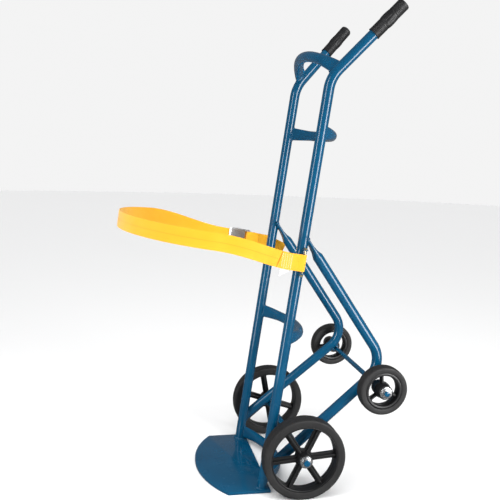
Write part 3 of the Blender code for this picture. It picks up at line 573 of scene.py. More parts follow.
def bead(name, seam, closed=True, radius=BEAD_R, ripple=0.0034):
    """A weld bead along a seam, with the ripples of its run."""
    points = list(seam) + ([seam[0]] if closed else [])
    lengths = [0.0]
    for a, b in zip(points, points[1:]):
        lengths.append(lengths[-1] + (b - a).length)
    total = lengths[-1]
    count = max(8, round(total / ripple)) * 5
    line, where = [], []
    index = 0
    for step in range(count if closed else count + 1):
        want = total * step / count
        while index < len(lengths) - 2 and lengths[index + 1] < want:
            index += 1
        share = (want - lengths[index]) / max(lengths[index + 1] - lengths[index], 1e-9)
        line.append(points[index].lerp(points[index + 1], share))
        where.append(want)
    middle = sum(line, Vector()) / len(line)
    loops = []
    for i, centre in enumerate(line):
        before = line[i - 1] if closed or i else line[0]
        after = line[(i + 1) % len(line)] if closed or i + 1 < len(line) else line[-1]
        tangent = (after - before).normalized()
        side = (centre - middle) - tangent * (centre - middle).dot(tangent)
        side = side.normalized() if side.length > 1e-6 else tangent.orthogonal().normalized()
        up = tangent.cross(side)
        phase = (where[i] / ripple) % 1.0
        size = radius * (0.86 + 0.20 * math.sin(math.pi * phase) + 0.10 * random.random() * 0.4)
        if not closed:
            size *= 0.35 + 0.65 * smooth(min(i, len(line) - 1 - i) / 5.0)
        loops.append(cord_ring(centre, side, up, size))
    mesh = loops_mesh(name, loops, closed=closed)
    face_outwards(mesh)
    piece(name, mesh, "blue_gloss_paint", matrix=TRUCK, sharp=60.0)


def measured(path):
    """How far along a path each of its points is."""
    places = [0.0]
    for a, b in zip(path, path[1:]):
        places.append(places[-1] + (b - a).length)
    return places


# ---------------------------------------------------------------- rails
RAIL_BEND = Vector((RAIL_X, 0.0, 1.2657))
HANDLE_BACK = math.radians(35.0)
HANDLE = Vector((0.197, math.sin(HANDLE_BACK), math.cos(HANDLE_BACK))).normalized()
HANDLE_END = RAIL_BEND + HANDLE * 0.279
TO_TRUCK = TRUCK.inverted()
PLATE_TOP = TO_TRUCK @ Vector((0.0, 0.0, PLATE_HIGH.z + GAP))
PLATE_UP = (TO_TRUCK.to_3x3() @ UPRIGHT).normalized()


def to_plate(point, heading):
    return (PLATE_TOP - point).dot(PLATE_UP) / heading.dot(PLATE_UP)


def sided(points, sign):
    return [p if sign > 0.0 else mirrored(p) for p in points]


for side, sign in SIDES:
    path = rounded_path(sided([Vector((RAIL_X, 0.0, PLATE_TOP.z)), RAIL_BEND, HANDLE_END], sign), 0.100, 24)
    foot, _ = tube(f"{side}_rail", path, measured(path), Vector((0.0, 1.0, 0.0)), trims=(to_plate, None))
    foot_middle = sum(foot, Vector()) / len(foot)
    bead(f"{side}_rail_foot_weld", [p.lerp(foot_middle, -0.05) for p in foot], radius=0.0034)

# ---------------------------------------------------------------- cradle bows
BOW_STEPS = 12
BOW_FINE = 96
BOW_RISE = 0.079


def bow_section(place):
    ease = min(min(place, BOW_STEPS - place) / 3.0, 1.0) ** 0.95
    return (0.0225 + (TUBE_R - 0.0225) * ease, 0.0034 + (TUBE_R - 0.0034) * ease, 3.4 - 1.4 * ease)


def bow_dent(place):
    share = min(place, BOW_STEPS - place)
    return 0.20 * smooth(share / 0.5) * (1.0 - smooth((share - 0.5) / 1.1))


def bow(name, middle, outward, upward, half, rise, rail_axis):
    """A shallow arc of tube between the two rails, its squashed ends welded to them."""
    radius = (half * half + rise * rise) / (2.0 * rise)
    reach = math.asin(half / radius)
    places = [BOW_STEPS * step / BOW_FINE for step in range(BOW_FINE + 1)]
    path = []
    for place in places:
        share = 2.0 * place / BOW_STEPS - 1.0
        angle = reach * (0.72 * share + 0.28 * math.sin(share * math.pi / 2.0))
        path.append(middle + Vector((radius * math.sin(angle), 0.0, 0.0))
                    + outward * (radius * math.cos(angle) - radius + rise))

    def to_rail(point, heading):
        hand = math.copysign(1.0, heading.x)
        axis = Vector((rail_axis.x * hand, rail_axis.y, rail_axis.z))
        return reach_cylinder(point, heading, middle + Vector((half * hand, 0.0, 0.0)), axis, TUBE_R + GAP)

    ends = tube(name, path, places, upward, bow_section, (to_rail, to_rail), bow_dent)
    for hand, end in zip(("right", "left"), ends):
        bead(f"{name}_{hand}_weld", end, radius=0.0023)


for name, height in (("upper_cradle_bow", 1.109), ("middle_cradle_bow", 0.486), ("lower_cradle_bow", 0.033)):
    bow(name, Vector((0.0, 0.0, height)), Vector((0.0, 1.0, 0.0)), UPRIGHT, RAIL_X, BOW_RISE, UPRIGHT)

BOW_TILT = math.radians(37.0)
bow_foot = RAIL_BEND + HANDLE * 0.033
bow_outward = Vector((0.0, -math.cos(BOW_TILT), math.sin(BOW_TILT)))
bow_upward = Vector((0.0, math.sin(BOW_TILT), math.cos(BOW_TILT)))
bow("handle_bow", Vector((0.0, bow_foot.y, bow_foot.z)), bow_outward, bow_upward, bow_foot.x, 0.073, HANDLE)

# ---------------------------------------------------------------- rear wheel supports
# along the tube from its top: distance, half width, half thickness, squareness
SQUASHED = ((0.000, 0.0215, 0.0050, 3.4), (0.046, 0.0210, 0.0054, 3.2), (0.064, 0.0190, 0.0092, 2.6),
            (0.082, TUBE_R, TUBE_R, 2.0), (9.0, TUBE_R, TUBE_R, 2.0))
# a support's top on the rail, the corner of its bend and its lower end on the rail's foot
SUPPORT = [Vector((0.180, 0.000, 0.806)), Vector((0.180, 0.332, 0.4375)), Vector((0.2025, 0.000, 0.0712))]


def support_section(place):
    for low, high in zip(SQUASHED, SQUASHED[1:]):
        if place <= high[0]:
            share = (place - low[0]) / (high[0] - low[0])
            return tuple(a + (b - a) * share for a, b in zip(low[1:], high[1:]))
    return round_section(place)


for side, sign in SIDES:
    def to_rail(point, heading, hand=sign):
        return reach_cylinder(point, heading, Vector((RAIL_X * hand, 0.0, 0.0)), UPRIGHT, TUBE_R + WELD_GAP)

    path = rounded_path(sided(SUPPORT, sign), 0.083, 36)
    heading = (path[1] - path[0]).normalized()
    path[1:1] = [path[0] + heading * (0.0035 * step) for step in range(1, 30)]
    top, foot = tube(f"{side}_support_tube", path, measured(path), Vector((1.0, 0.0, 0.0)), support_section,
                     (to_rail, to_rail))
    bead(f"{side}_support_top_weld", top, radius=0.0027)
    bead(f"{side}_support_foot_weld", foot, radius=0.0029)

# ---------------------------------------------------------------- toe plate
PLATE_CORNER = PLATE_LOW.y + 0.075
NOSE = 0.075
nose_radius = (PLATE_HIGH.x ** 2 + NOSE ** 2) / (2.0 * NOSE)
nose_reach = math.asin(PLATE_HIGH.x / nose_radius)
outline = [(PLATE_HIGH.x, PLATE_HIGH.y), (PLATE_LOW.x, PLATE_HIGH.y)]
for step in range(121):
    angle = nose_reach * (2.0 * step / 120 - 1.0)
    outline.append((nose_radius * math.sin(angle),
                    PLATE_CORNER - NOSE + nose_radius * (1.0 - math.cos(angle))))
piece("toe_plate_steel", bevelled(slab_mesh("toe_plate_steel", [outline], 0.0, PLATE_HIGH.z), 0.0011, 3),
      "blue_gloss_paint", nodes=("toe_plate",))

# ---------------------------------------------------------------- grips
GRIP_LENGTH = 0.1165
GRIP_SIDES, GRIP_ROWS = 120, 300
RIB_DEPTH, RIB_PITCH = 0.00045, 0.0034
FLUTE_DEPTH, FLUTES = 0.00115, 10.0
# (height, radius): lip, ribbed collar, barrel, ribbed collar, rounded end
GRIP_PROFILE = ((0.0, 0.0190), (0.0004, 0.0194), (0.0016, 0.0194), (0.0022, 0.0187), (0.0350, 0.0187),
                (0.0375, 0.0180), (0.0400, 0.0188), (0.0460, 0.0198), (0.0550, 0.0201), (0.0640, 0.0198),
                (0.0720, 0.0190), (0.0755, 0.0186), (0.0770, 0.0180), (0.0785, 0.0187), (0.1105, 0.0187),
                (0.1140, 0.0182), (0.1157, 0.0170), (0.1165, 0.0150))
# (radius, height): the bore that the tube fills, and the dished end with its vent
GRIP_BORE = ((TUBE_R + 0.0002, 0.1125), (TUBE_R + 0.0002, 0.0004), (TUBE_R + 0.0006, 0.0))
GRIP_END = ((0.0138, 0.1163), (0.0130, 0.1158), (0.0030, 0.1158), (0.0024, 0.1152))


def grip_radius(height, turn):
    for (low, a), (high, b) in zip(GRIP_PROFILE, GRIP_PROFILE[1:]):
        if height <= high:
            radius = a + (b - a) * smooth((height - low) / (high - low))
            break
    ribbed = smooth((height - 0.0026) / 0.002) * smooth((0.0345 - height) / 0.002)
    ribbed += smooth((height - 0.0800) / 0.002) * smooth((0.1100 - height) / 0.002)
    radius -= RIB_DEPTH * ribbed * (0.5 - 0.5 * math.cos(2.0 * math.pi * height / RIB_PITCH)) ** 2
    fluted = smooth((height - 0.0420) / 0.006) * smooth((0.0725 - height) / 0.006)
    radius -= FLUTE_DEPTH * fluted * (0.5 + 0.5 * math.cos(FLUTES * turn)) ** 3
    return radius


for side, sign in SIDES:
    heading = sided([HANDLE], sign)[0]
    base = sided([HANDLE_END], sign)[0] + heading * (0.004 - GRIP_LENGTH)
    turn_to = Matrix.Translation(base) @ heading.to_track_quat("Z", "Y").to_matrix().to_4x4()
    heights = [GRIP_LENGTH * step / GRIP_ROWS for step in range(GRIP_ROWS + 1)]
    outer = []
    for height in heights:
        radii = [(grip_radius(height, t), t) for t in turns(GRIP_SIDES)]
        outer.append([Vector((radius * math.cos(t), radius * math.sin(t), height)) for radius, t in radii])
    loops = [level_ring(radius, height, GRIP_SIDES) for radius, height in GRIP_BORE] + outer
    loops += [level_ring(radius, height, GRIP_SIDES) for radius, height in GRIP_END]
    piece(f"{side}_grip_vinyl", loops_mesh(f"{side}_grip_vinyl", loops), "grip_rubber",
          matrix=TRUCK @ turn_to, nodes=(f"{side}_grip",), sharp=60.0)

# ---------------------------------------------------------------- axles and their fasteners
HUB_OUTER_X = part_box("front_left_wheel_centre")[1].x
AXLE_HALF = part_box("front_axle")[1].x
HUB_INNER = {"front": 0.2190, "rear": 0.2120}
AXLE_R = {"front": 0.009525, "rear": 0.0079375}
HUBS = {"front": FRONT_HUB, "rear": REAR_HUB}


def axle_place(where, x, sign=1.0):
    """Local Z pointing out along an axle on one side of the truck, X up the truck's lean."""
    hub = HUBS[where]
    out = Vector((sign, 0.0, 0.0))
    axes = Matrix((TRUCK_UP, out.cross(TRUCK_UP), out)).transposed()
    return Matrix.Translation((x * sign, hub.y, hub.z)) @ axes.to_4x4()


def push_nut_mesh(name, bore):
    """A spring-steel push nut: a rim and inner teeth that bite the axle, bent outwards."""
    steps, teeth = 160, 8
    loops = []
    for step in range(steps):
        turn = 2.0 * math.pi * step / steps
        phase = (step * teeth / steps) % 1.0
        tooth = 0.14 < phase < 0.86
        inner = bore if tooth else 0.0124
        lift = 0.0042 if tooth else 0.0036
        outline = ((0.0148, 0.0), (0.0150, 0.0004), (0.0150, 0.0022), (0.0147, 0.0027), (0.0138, 0.0032),
                   (0.0126, 0.0036), (inner, lift + 0.0006), (inner, lift - 0.0004), (0.0124, 0.0026),
                   (0.0136, 0.0020), (0.0140, 0.0))
        loops.append([Vector((r * math.cos(turn), r * math.sin(turn), h)) for r, h in outline])
    mesh = loops_mesh(name, loops, closed=True)
    face_outwards(mesh)
    return mesh


for where in ("front", "rear"):
    bore = AXLE_R[where] + GAP
    rod = [(0.0, -AXLE_HALF), (AXLE_R[where] - 0.0016, -AXLE_HALF),
           (AXLE_R[where] - 0.0004, -AXLE_HALF + 0.0006), (AXLE_R[where], -AXLE_HALF + 0.0018)]
    rod = symmetric(rod)
    piece(f"{where}_axle_rod", lathe_mesh(f"{where}_axle_rod", rod, 72, close=False), "blue_gloss_paint",
          matrix=axle_place(where, 0.0), nodes=(f"{where}_axle",))
    for side, sign in SIDES:
        label = f"{where}_{side}"
        washer = rounded([(0.0186, 0.002), (0.0186, 0.0), (bore, 0.0), (bore, 0.002)], 0.0006)
        piece(f"{label}_steel_washer", lathe_mesh("washer", washer, 96), "zinc_plate",
              matrix=axle_place(where, HUB_OUTER_X + GAP, sign), nodes=(f"{label}_washer",))
        piece(f"{label}_toothed_nut", push_nut_mesh("push_nut", bore), "zinc_plate",
              matrix=axle_place(where, HUB_OUTER_X + 0.0026, sign), nodes=(f"{label}_push_nut",))
        collar = rounded([(0.0150, 0.005), (0.0150, 0.0), (bore, 0.0), (bore, 0.005)], 0.0010)
        piece(f"{label}_painted_collar", lathe_mesh("collar", collar, 72), "blue_gloss_paint",
              matrix=axle_place(where, HUB_INNER[where] - 0.0053, sign), nodes=(f"{label}_axle_collar",))
        length = HUB_OUTER_X - HUB_INNER[where] - 0.001
        bush = rounded([(0.0125, length), (0.0125, 0.0), (bore, 0.0), (bore, length)], 0.0004)
        piece(f"{label}_steel_bushing", lathe_mesh("bushing", bush, 64), "bush_steel", f"{label}_wheel",
              axle_place(where, HUB_INNER[where] + 0.0005, sign), nodes=(f"{label}_bushing",))

# ---------------------------------------------------------------- wheels
WHEEL_X = {"front": FRONT_HUB.x, "rear": REAR_HUB.x}
SPECS = {
    "front": dict(spokes=6, phase=-78.3, hub_r=0.0215, disc_r=0.0285, window_r=0.0988, spoke_half=0.0104,
                  web_half=0.0042, rib_half=0.0125, rib_wide=0.0034, fillet=0.009,
                  rim=[(0.1040, 0.0195), (0.1040, -0.0195), (0.1018, -0.0201), (0.0998, -0.0195),
                       (0.0992, -0.0040), (0.0992, 0.0040), (0.0998, 0.0195), (0.1018, 0.0201)]),
    "rear": dict(spokes=3, phase=-46.7, hub_r=0.0225, disc_r=0.0258, window_r=0.0462, spoke_half=0.0055,
                 web_half=0.0035, rib_half=0.0090, rib_wide=0.0030, fillet=0.006,
                 rim=[(0.0570, 0.0165), (0.0570, -0.0165), (0.0530, -0.0172), (0.0485, -0.0165),
                      (0.0468, 0.0), (0.0485, 0.0165), (0.0530, 0.0172)]),
}
SPECS["front"]["hub"] = [(0.0190, HUB_OUTER_X - FRONT_HUB.x), (0.0212, HUB_OUTER_X - FRONT_HUB.x - 0.0022),
                         (0.0217, 0.0125), (0.0217, -0.0125), (0.0212, 0.2200 - FRONT_HUB.x),
                         (0.0202, 0.2190 - FRONT_HUB.x), (0.0128, 0.2190 - FRONT_HUB.x),
                         (0.0128, HUB_OUTER_X - FRONT_HUB.x)]
SPECS["rear"]["hub"] = [(0.0205, HUB_OUTER_X - REAR_HUB.x), (0.0223, HUB_OUTER_X - REAR_HUB.x - 0.002),
                        (0.0240, 0.004), (0.0240, -0.004), (0.0225, 0.2130 - REAR_HUB.x),
                        (0.0215, 0.2120 - REAR_HUB.x), (0.0128, 0.2120 - REAR_HUB.x),
                        (0.0128, HUB_OUTER_X - REAR_HUB.x)]
TYRES = {
    "front": symmetric([(0.1043, 0.0212), (0.1075, 0.0222), (0.1110, 0.0223), (0.1180, 0.0230),
                        (0.1215, 0.0230), (0.1246, 0.0228), (0.1257, 0.0222), (0.1262, 0.0212),
                        (0.1268, 0.0205), (0.1270, 0.0195), (0.1270, 0.0080)]),
    "rear": symmetric([(0.0573, 0.0172), (0.0600, 0.0184), (0.0640, 0.0186), (0.0690, 0.0190),
                       (0.0718, 0.0187), (0.0733, 0.0180), (0.0745, 0.0162), (0.0753, 0.0140),
                       (0.0760, 0.0080), (0.0762, 0.0030)]),
}


def away_from_ends(points, reach):
    return [p for p in points if (p - points[0]).length > reach and (p - points[-1]).length > reach]


def window(spec, index):
    """One opening between two spokes, with rounded corners at the rim and at the hub."""
    pitch = 2.0 * math.pi / spec["spokes"]
    low = math.radians(spec["phase"]) + index * pitch
    corners = []
    for radius in (spec["disc_r"], spec["window_r"]):
        reach = math.asin(spec["spoke_half"] / radius)
        corners.append((radius, low + reach, low + pitch - reach))
    (inner_r, a0, a1), (outer_r, b0, b1) = corners
    arc = 20
    inner = [(inner_r, a1 + (a0 - a1) * step / arc) for step in range(arc + 1)]
    outer = [(outer_r, b0 + (b1 - b0) * step / (2 * arc)) for step in range(2 * arc + 1)]
    points = [Vector((r * math.cos(a), r * math.sin(a))) for r, a in inner]
    rim = [Vector((r * math.cos(a), r * math.sin(a))) for r, a in outer]
    fillet = spec["fillet"]
    result = []

    def fan(before, corner, after, reach):
        start = corner + (before - corner).normalized() * reach
        finish = corner + (after - corner).normalized() * reach
        for step in range(7):
            t = step / 6.0
            result.append(start * (1 - t) ** 2 + corner * (2 * t * (1 - t)) + finish * t * t)

    inner_cut = min(fillet * 0.45, (points[0] - points[-1]).length * 0.3)
    result += away_from_ends(points, inner_cut)
    fan(points[-2], points[-1], rim[0], inner_cut)
    fan(points[-1], rim[0], rim[1], fillet)
    result += away_from_ends(rim, fillet)
    fan(rim[-2], rim[-1], points[0], fillet)
    fan(rim[-1], points[0], points[1], inner_cut)
    return [tuple(p) for p in result]


def rib_mesh(spec):
    """Raised ribs down the middle of the spokes, with rounded edges."""
    half_y, half_z, corner = spec["rib_wide"], spec["rib_half"], 0.0016
    section = []
    for centre_y, centre_z, start in ((1, 1, 0), (-1, 1, 90), (-1, -1, 180), (1, -1, 270)):
        for step in range(5):
            turn = math.radians(start + 22.5 * step)
            section.append((centre_y * (half_y - corner) + corner * math.cos(turn),
                            centre_z * (half_z - corner) + corner * math.sin(turn)))
    count = len(section)
    vertices, faces = [], []
    for index in range(spec["spokes"]):
        turn = Matrix.Rotation(math.radians(spec["phase"]) + index * 2.0 * math.pi / spec["spokes"], 3, "Z")
        base = len(vertices)
        for x in (spec["hub_r"] - 0.003, spec["window_r"] + 0.002):
            vertices += [turn @ Vector((x, y, z)) for y, z in section]
        faces += [(base + i, base + count + i, base + count + (i + 1) % count, base + (i + 1) % count)
                  for i in range(count)]
        faces.append(tuple(base + i for i in range(count)))
        faces.append(tuple(base + count + i for i in reversed(range(count))))
    mesh = mesh_from("ribs", vertices, faces)
    face_outwards(mesh)
    return mesh


def wheel_centre_mesh(where):
    spec = SPECS[where]
    outlines = [circle(0.0, 0.0, spec["window_r"] + 0.003, 96), circle(0.0, 0.0, spec["hub_r"] - 0.004, 64)]
    outlines += [window(spec, index) for index in range(spec["spokes"])]
    web = bevelled(slab_mesh("web", outlines, -spec["web_half"], spec["web_half"]), 0.0008, 2)
    rim = lathe_mesh("rim", rounded(spec["rim"], 0.0009, 2), 160)
    hub = lathe_mesh("hub", rounded(spec["hub"], 0.0010, 2), 96)
    return combined(f"{where}_wheel_centre", [web, rim, hub, rib_mesh(spec)])


for where in ("front", "rear"):
    centre = wheel_centre_mesh(where)
    tyre = lathe_mesh(f"{where}_tyre", TYRES[where], 192)
    for side, sign in SIDES:
        body = f"{where}_{side}_wheel"
        place = Matrix.Translation((WHEEL_X[where] * sign, HUBS[where].y, HUBS[where].z))
        turn = TRUCK.to_3x3().to_4x4() @ Matrix.Rotation(math.pi / 2.0, 4, "Y")
        if sign < 0.0:
            turn = turn @ Matrix.Rotation(math.pi, 4, "X")
        piece(f"{where}_{side}_moulded_centre", centre.copy(), "black_plastic", body, place @ turn,
              nodes=(f"{where}_{side}_wheel_centre",), sharp=28.0)
        piece(f"{where}_{side}_rubber_tyre", tyre.copy(), "black_rubber", body, place @ turn,
              nodes=(f"{where}_{side}_tyre",), sharp=28.0)

# ---------------------------------------------------------------- strap anchors
ANCHOR = Vector((0.2105, 0.004, 0.0))
LUG_HEIGHTS = (0.693, 0.764)
LUG_HALF = 0.0015
BOLT_R = 0.003


def hexagon_mesh(name, across, low, high, bore=None):
    """A hexagon with its corners chamfered round at both ends."""
    outlines = [circle(0.0, 0.0, across / math.sqrt(3.0), 6)] + ([circle(0.0, 0.0, bore, 32)] if bore else [])
    block = slab_mesh(name, outlines, low, high)
    half = across / 2.0
    cone = [(0.0, low), (half * 1.02, low), (half * 1.16, low + 0.0009), (half * 1.16, high - 0.0009),
            (half * 1.02, high), (0.0, high)]
    return combined(name, [block, lathe_mesh("cone", cone, 64, close=False)], "INTERSECT")


def threaded_rod_mesh(name, low, thread_high, high):
    """A bolt's shank, threaded up to thread_high."""
    pitch, around = 0.0010, 24
    rows = round((high - low) / (pitch / 4.0))
    loops = []
    for row in range(rows + 1):
        height = low + (high - low) * row / rows
        loop = []
        for step in range(around):
            turn = 2.0 * math.pi * step / around
            phase = (height / pitch - step / around) % 1.0
            depth = 0.0005 * abs(2.0 * phase - 1.0) if height < thread_high else 0.0
            radius = BOLT_R - depth
            if row == 0:
                radius -= 0.0007
            loop.append(Vector((radius * math.cos(turn), radius * math.sin(turn), height)))
        loops.append(loop)
    return loops_mesh(name, loops)


def lug_outline(sign):
    points = []
    for step in range(33):
        angle = math.radians(-90.0 + 180.0 * step / 32)
        points.append((sign * (ANCHOR.x + 0.0085 * math.cos(angle)), ANCHOR.y + 0.0085 * math.sin(angle)))
    seat = TUBE_R + GAP
    for step in range(13):
        y = ANCHOR.y + 0.0085 - 0.017 * step / 12
        points.append((sign * (RAIL_X + math.sqrt(seat * seat - y * y)), y))
    return points


for side, sign in SIDES:
    at = Matrix.Translation((ANCHOR.x * sign, ANCHOR.y, 0.0))
    for level, height in zip(("lower", "upper"), LUG_HEIGHTS):
        hole = circle(ANCHOR.x * sign, ANCHOR.y, BOLT_R + GAP, 32)
        lug = slab_mesh("lug", [lug_outline(sign), hole], height - LUG_HALF, height + LUG_HALF)
        piece(f"{side}_{level}_welded_lug", bevelled(lug, 0.0004, 2), "blue_gloss_paint", matrix=TRUCK,
              nodes=(f"{side}_{level}_lug",))
        for face, step in (("top", 0.0019), ("under", -0.0019)):
            seam = []
            for index in range(15):
                y = ANCHOR.y + 0.0080 - 0.016 * index / 14
                x = RAIL_X + math.sqrt((TUBE_R + 0.0006) ** 2 - y * y)
                seam.append(Vector((sign * x, y, height + step)))
            bead(f"{side}_{level}_lug_{face}_weld", seam, closed=False, radius=0.0012, ripple=0.0022)
    head_seat = LUG_HEIGHTS[1] + LUG_HALF + GAP
    nut_seat = LUG_HEIGHTS[0] - LUG_HALF - GAP
    head = hexagon_mesh("head", 0.010, head_seat, head_seat + 0.0042)
    rod = threaded_rod_mesh("rod", nut_seat - 0.0085, nut_seat + 0.022, head_seat + 0.001)
    piece(f"{side}_hex_bolt", combined("bolt", [head, rod]), "yellow_zinc_plate", matrix=TRUCK @ at,
          nodes=(f"{side}_anchor_bolt",), sharp=30.0)
    nut = hexagon_mesh("nut", 0.010, nut_seat - 0.0052, nut_seat, BOLT_R + GAP)
    piece(f"{side}_hex_nut", nut, "yellow_zinc_plate", matrix=TRUCK @ at,
          nodes=(f"{side}_anchor_nut",), sharp=30.0)

# ---------------------------------------------------------------- strap
DRUM_R = 0.292                   # the drum that the strap's loop is shaped round
DRUM_Y = -0.246
STRAP_WIDTH = 0.050
STRAP_THICKNESS = 0.0018
STRAP_HIGH, STRAP_LOW = 0.764, 0.725
LOOP_R = 0.0061
LAYER = STRAP_THICKNESS + GAP
OVERLAP = 0.090
SLANT_FADE = 0.030               # how far along the strap a slanted cut's shear dies out
WAVER = 0.00008
NEAR_SLANT, FAR_SLANT = 0.16, -0.05
STRAP_R = DRUM_R + 0.0002 + STRAP_THICKNESS / 2.0

axis_point = Vector((0.0, DRUM_Y, 0.0))
to_anchor = ANCHOR - axis_point
bearing = math.atan2(to_anchor.y, to_anchor.x)
contact = bearing - math.acos((STRAP_R + LOOP_R) / to_anchor.length)
outward = Vector((math.cos(contact), math.sin(contact), 0.0))
rearward = Vector((-outward.y, outward.x, 0.0))
touch = axis_point + outward * STRAP_R
run = (ANCHOR - touch).dot(rearward)

far_bolt = mirrored(ANCHOR)
far_contact = bearing - math.acos(DRUM_R / to_anchor.length)
far_outward = Vector((-math.cos(far_contact), math.sin(far_contact), 0.0))
far_rearward = Vector((far_outward.y, -far_outward.x, 0.0))
far_touch = axis_point + far_outward * DRUM_R
far_run = (far_bolt - far_touch).dot(far_rearward)


def strap_height(distance):
    share = min(max(distance / 0.300, 0.0), 1.0)
    return STRAP_LOW + (STRAP_HIGH - STRAP_LOW) * (0.5 - 0.5 * math.cos(math.pi * share))


def near_point(back, out):
    """A point by its distance in front of the near bolt and out from the straight run."""
    place = touch + rearward * (run - back) + outward * out
    return Vector((place.x, place.y, strap_height(back)))


def far_point(back, out, drop=0.0):
    """A point by its distance in front of the far bolt and out from the plane that touches the drum."""
    place = far_touch + far_rearward * (far_run - back) + far_outward * out
    return Vector((place.x, place.y, STRAP_LOW - drop))


def ribbon(name, path, nodes, slants=(0.0, 0.0)):
    """Webbing swept along a path: thin selvedges, a very slight waver, and its own map.

    A slant shears that end along the strap by so much per metre of width.
    """
    across_steps = 14
    tangents = directions(path)
    places = measured(path)
    total = places[-1]
    half = STRAP_THICKNESS / 2.0
    section = []                                    # (share of the width, share of the thickness, V in mm)
    for step in range(across_steps + 1):
        share = step / across_steps
        edge = min(share, 1.0 - share)
        full = 0.45 + 0.55 * smooth(edge / 0.022) if edge < 0.022 else 1.0
        section.append((share - 0.5, full, 1000.0 * STRAP_WIDTH * share))
    outline = section + [(share, -full, v + 100.0) for share, full, v in reversed(section)]
    vertices, where = [], []
    for centre, tangent, place in zip(path, tangents, places):
        across = (UPRIGHT - tangent * UPRIGHT.dot(tangent)).normalized()
        face = tangent.cross(across)
        for share, thin, v in outline:
            wide = share * STRAP_WIDTH
            shear = slants[0] * wide * (1.0 - smooth(place / SLANT_FADE))
            shear += slants[1] * wide * (1.0 - smooth((total - place) / SLANT_FADE))
            lift = WAVER * math.sin(place * 170.0 + share * 9.0)
            vertices.append(centre + across * wide + tangent * shear + face * (thin * half + lift))
            where.append((1000.0 * place, v))
    sides = len(outline)
    faces = []
    for row in range(len(path) - 1):
        for step in range(sides):
            faces.append(quad(row, row + 1, step, (step + 1) % sides, sides))
    faces.append(tuple(reversed(range(sides))))
    last = (len(path) - 1) * sides
    faces.append(tuple(range(last, last + sides)))
    mesh = mesh_from(name, vertices, faces)
    layer = mesh.uv_layers.new(name="weave")
    for polygon in mesh.polygons:
        spots = [where[mesh.loops[i].vertex_index] for i in polygon.loop_indices]
        mixed = max(v for _, v in spots) > 99.0 > min(v for _, v in spots)
        for i, (u, v) in zip(polygon.loop_indices, spots):
            layer.data[i].uv = (u, v - 100.0 if mixed and v > 99.0 else v)
    face_outwards(mesh)
    made = piece(name, mesh, "yellow_webbing", matrix=TRUCK, nodes=nodes, sharp=50.0)
    return made, total


strap_path = [near_point(OVERLAP - step * 0.010, LAYER) for step in range(7)]
strap_path += [near_point(0.0180, LAYER + 0.0022), near_point(0.0100, LAYER + 0.0066)]
for step in range(17):
    angle = math.pi / 2.0 - math.pi * step / 16.0
    strap_path.append(near_point(-LOOP_R * math.cos(angle), LOOP_R * (1.0 + math.sin(angle))))
strap_path += [near_point(run * share, 0.0) for share in (0.10, 0.28, 0.46, 0.64, 0.82)]
WRAP_STEPS = 80
LEAVE, FAR_LEVEL = 0.055, 0.165
start_angle = -contact
far_angle = math.pi + far_contact
finish_angle = far_angle - LEAVE / STRAP_R
for step in range(WRAP_STEPS + 1):
    angle = start_angle + (finish_angle - start_angle) * step / WRAP_STEPS
    near_distance = run + STRAP_R * (angle - start_angle)
    far_distance = far_run + STRAP_R * (far_angle - angle)
    height = min(strap_height(near_distance), strap_height(far_distance - FAR_LEVEL))
    strap_path.append(Vector((STRAP_R * math.cos(angle), DRUM_Y - STRAP_R * math.sin(angle), height)))
BUCKLE_BACK = 0.118
BASE_TOP = 0.0028
STRAP_LIFT = BASE_TOP + 0.0006 + STRAP_THICKNESS / 2.0
TAIL = ((0.0950, 0.0092, 0.0), (0.0860, 0.0124, 0.0), (0.0740, 0.0146, 0.0), (0.0550, 0.0166, 0.001),
        (0.0350, 0.0188, 0.003), (0.0150, 0.0220, 0.006), (-0.0050, 0.0266, 0.010), (-0.0250, 0.0334, 0.016),
        (-0.0420, 0.0415, 0.023))
strap_path += [far_point(back, STRAP_LIFT) for back in (0.158, 0.140, 0.122, 0.106)]
strap_path += [far_point(*place) for place in TAIL]
strap_line = curved(strap_path, 0.0028)
strap, strap_length = ribbon("drum_strap", strap_line, ("strap_webbing",), (NEAR_SLANT, FAR_SLANT))

PIN_R = 0.0030
CAM_PIN = (-0.0080, 0.0132)
ANCHOR_PIN = (0.0320, 0.0053)
PIN_LOOP_R = PIN_R + GAP + STRAP_THICKNESS / 2.0 + 0.0001
HALF_LAYER = (STRAP_THICKNESS + GAP) / 2.0
BOLT_TO_PIN = BUCKLE_BACK - ANCHOR_PIN[0]
PIN_OUT = ANCHOR_PIN[1] + GAP


def short_point(forward, out):
    """A point by its distance in front of the far bolt and out from the line bolt to pin."""
    return far_point(forward, out + PIN_OUT * forward / BOLT_TO_PIN)


middle = BOLT_TO_PIN / 2.0
half_turn = [math.pi * step / 14 - math.pi / 2.0 for step in range(15)]
short_path = [short_point(middle, -HALF_LAYER), short_point(0.030, -HALF_LAYER), short_point(0.012, -0.0038)]
short_path += [short_point(-LOOP_R * math.cos(t), LOOP_R * math.sin(t)) for t in half_turn]
short_path += [short_point(0.012, 0.0038), short_point(0.030, HALF_LAYER), short_point(middle, HALF_LAYER),
               short_point(BOLT_TO_PIN - 0.022, HALF_LAYER), short_point(BOLT_TO_PIN - 0.010, 0.0026)]
short_path += [short_point(BOLT_TO_PIN + PIN_LOOP_R * math.cos(t), -PIN_LOOP_R * math.sin(t))
               for t in half_turn]
short_path += [short_point(BOLT_TO_PIN - 0.010, -0.0026), short_point(BOLT_TO_PIN - 0.022, -HALF_LAYER),
               short_point(middle + 0.001, -HALF_LAYER)]
short, short_length = ribbon("buckle_strap", curved(short_path, 0.0016), ("short_strap",))


# ---------------------------------------------------------------- stitching
THREAD_SIDES = 8
THREAD_R = 0.00052
STITCH_LENGTH = 0.0030
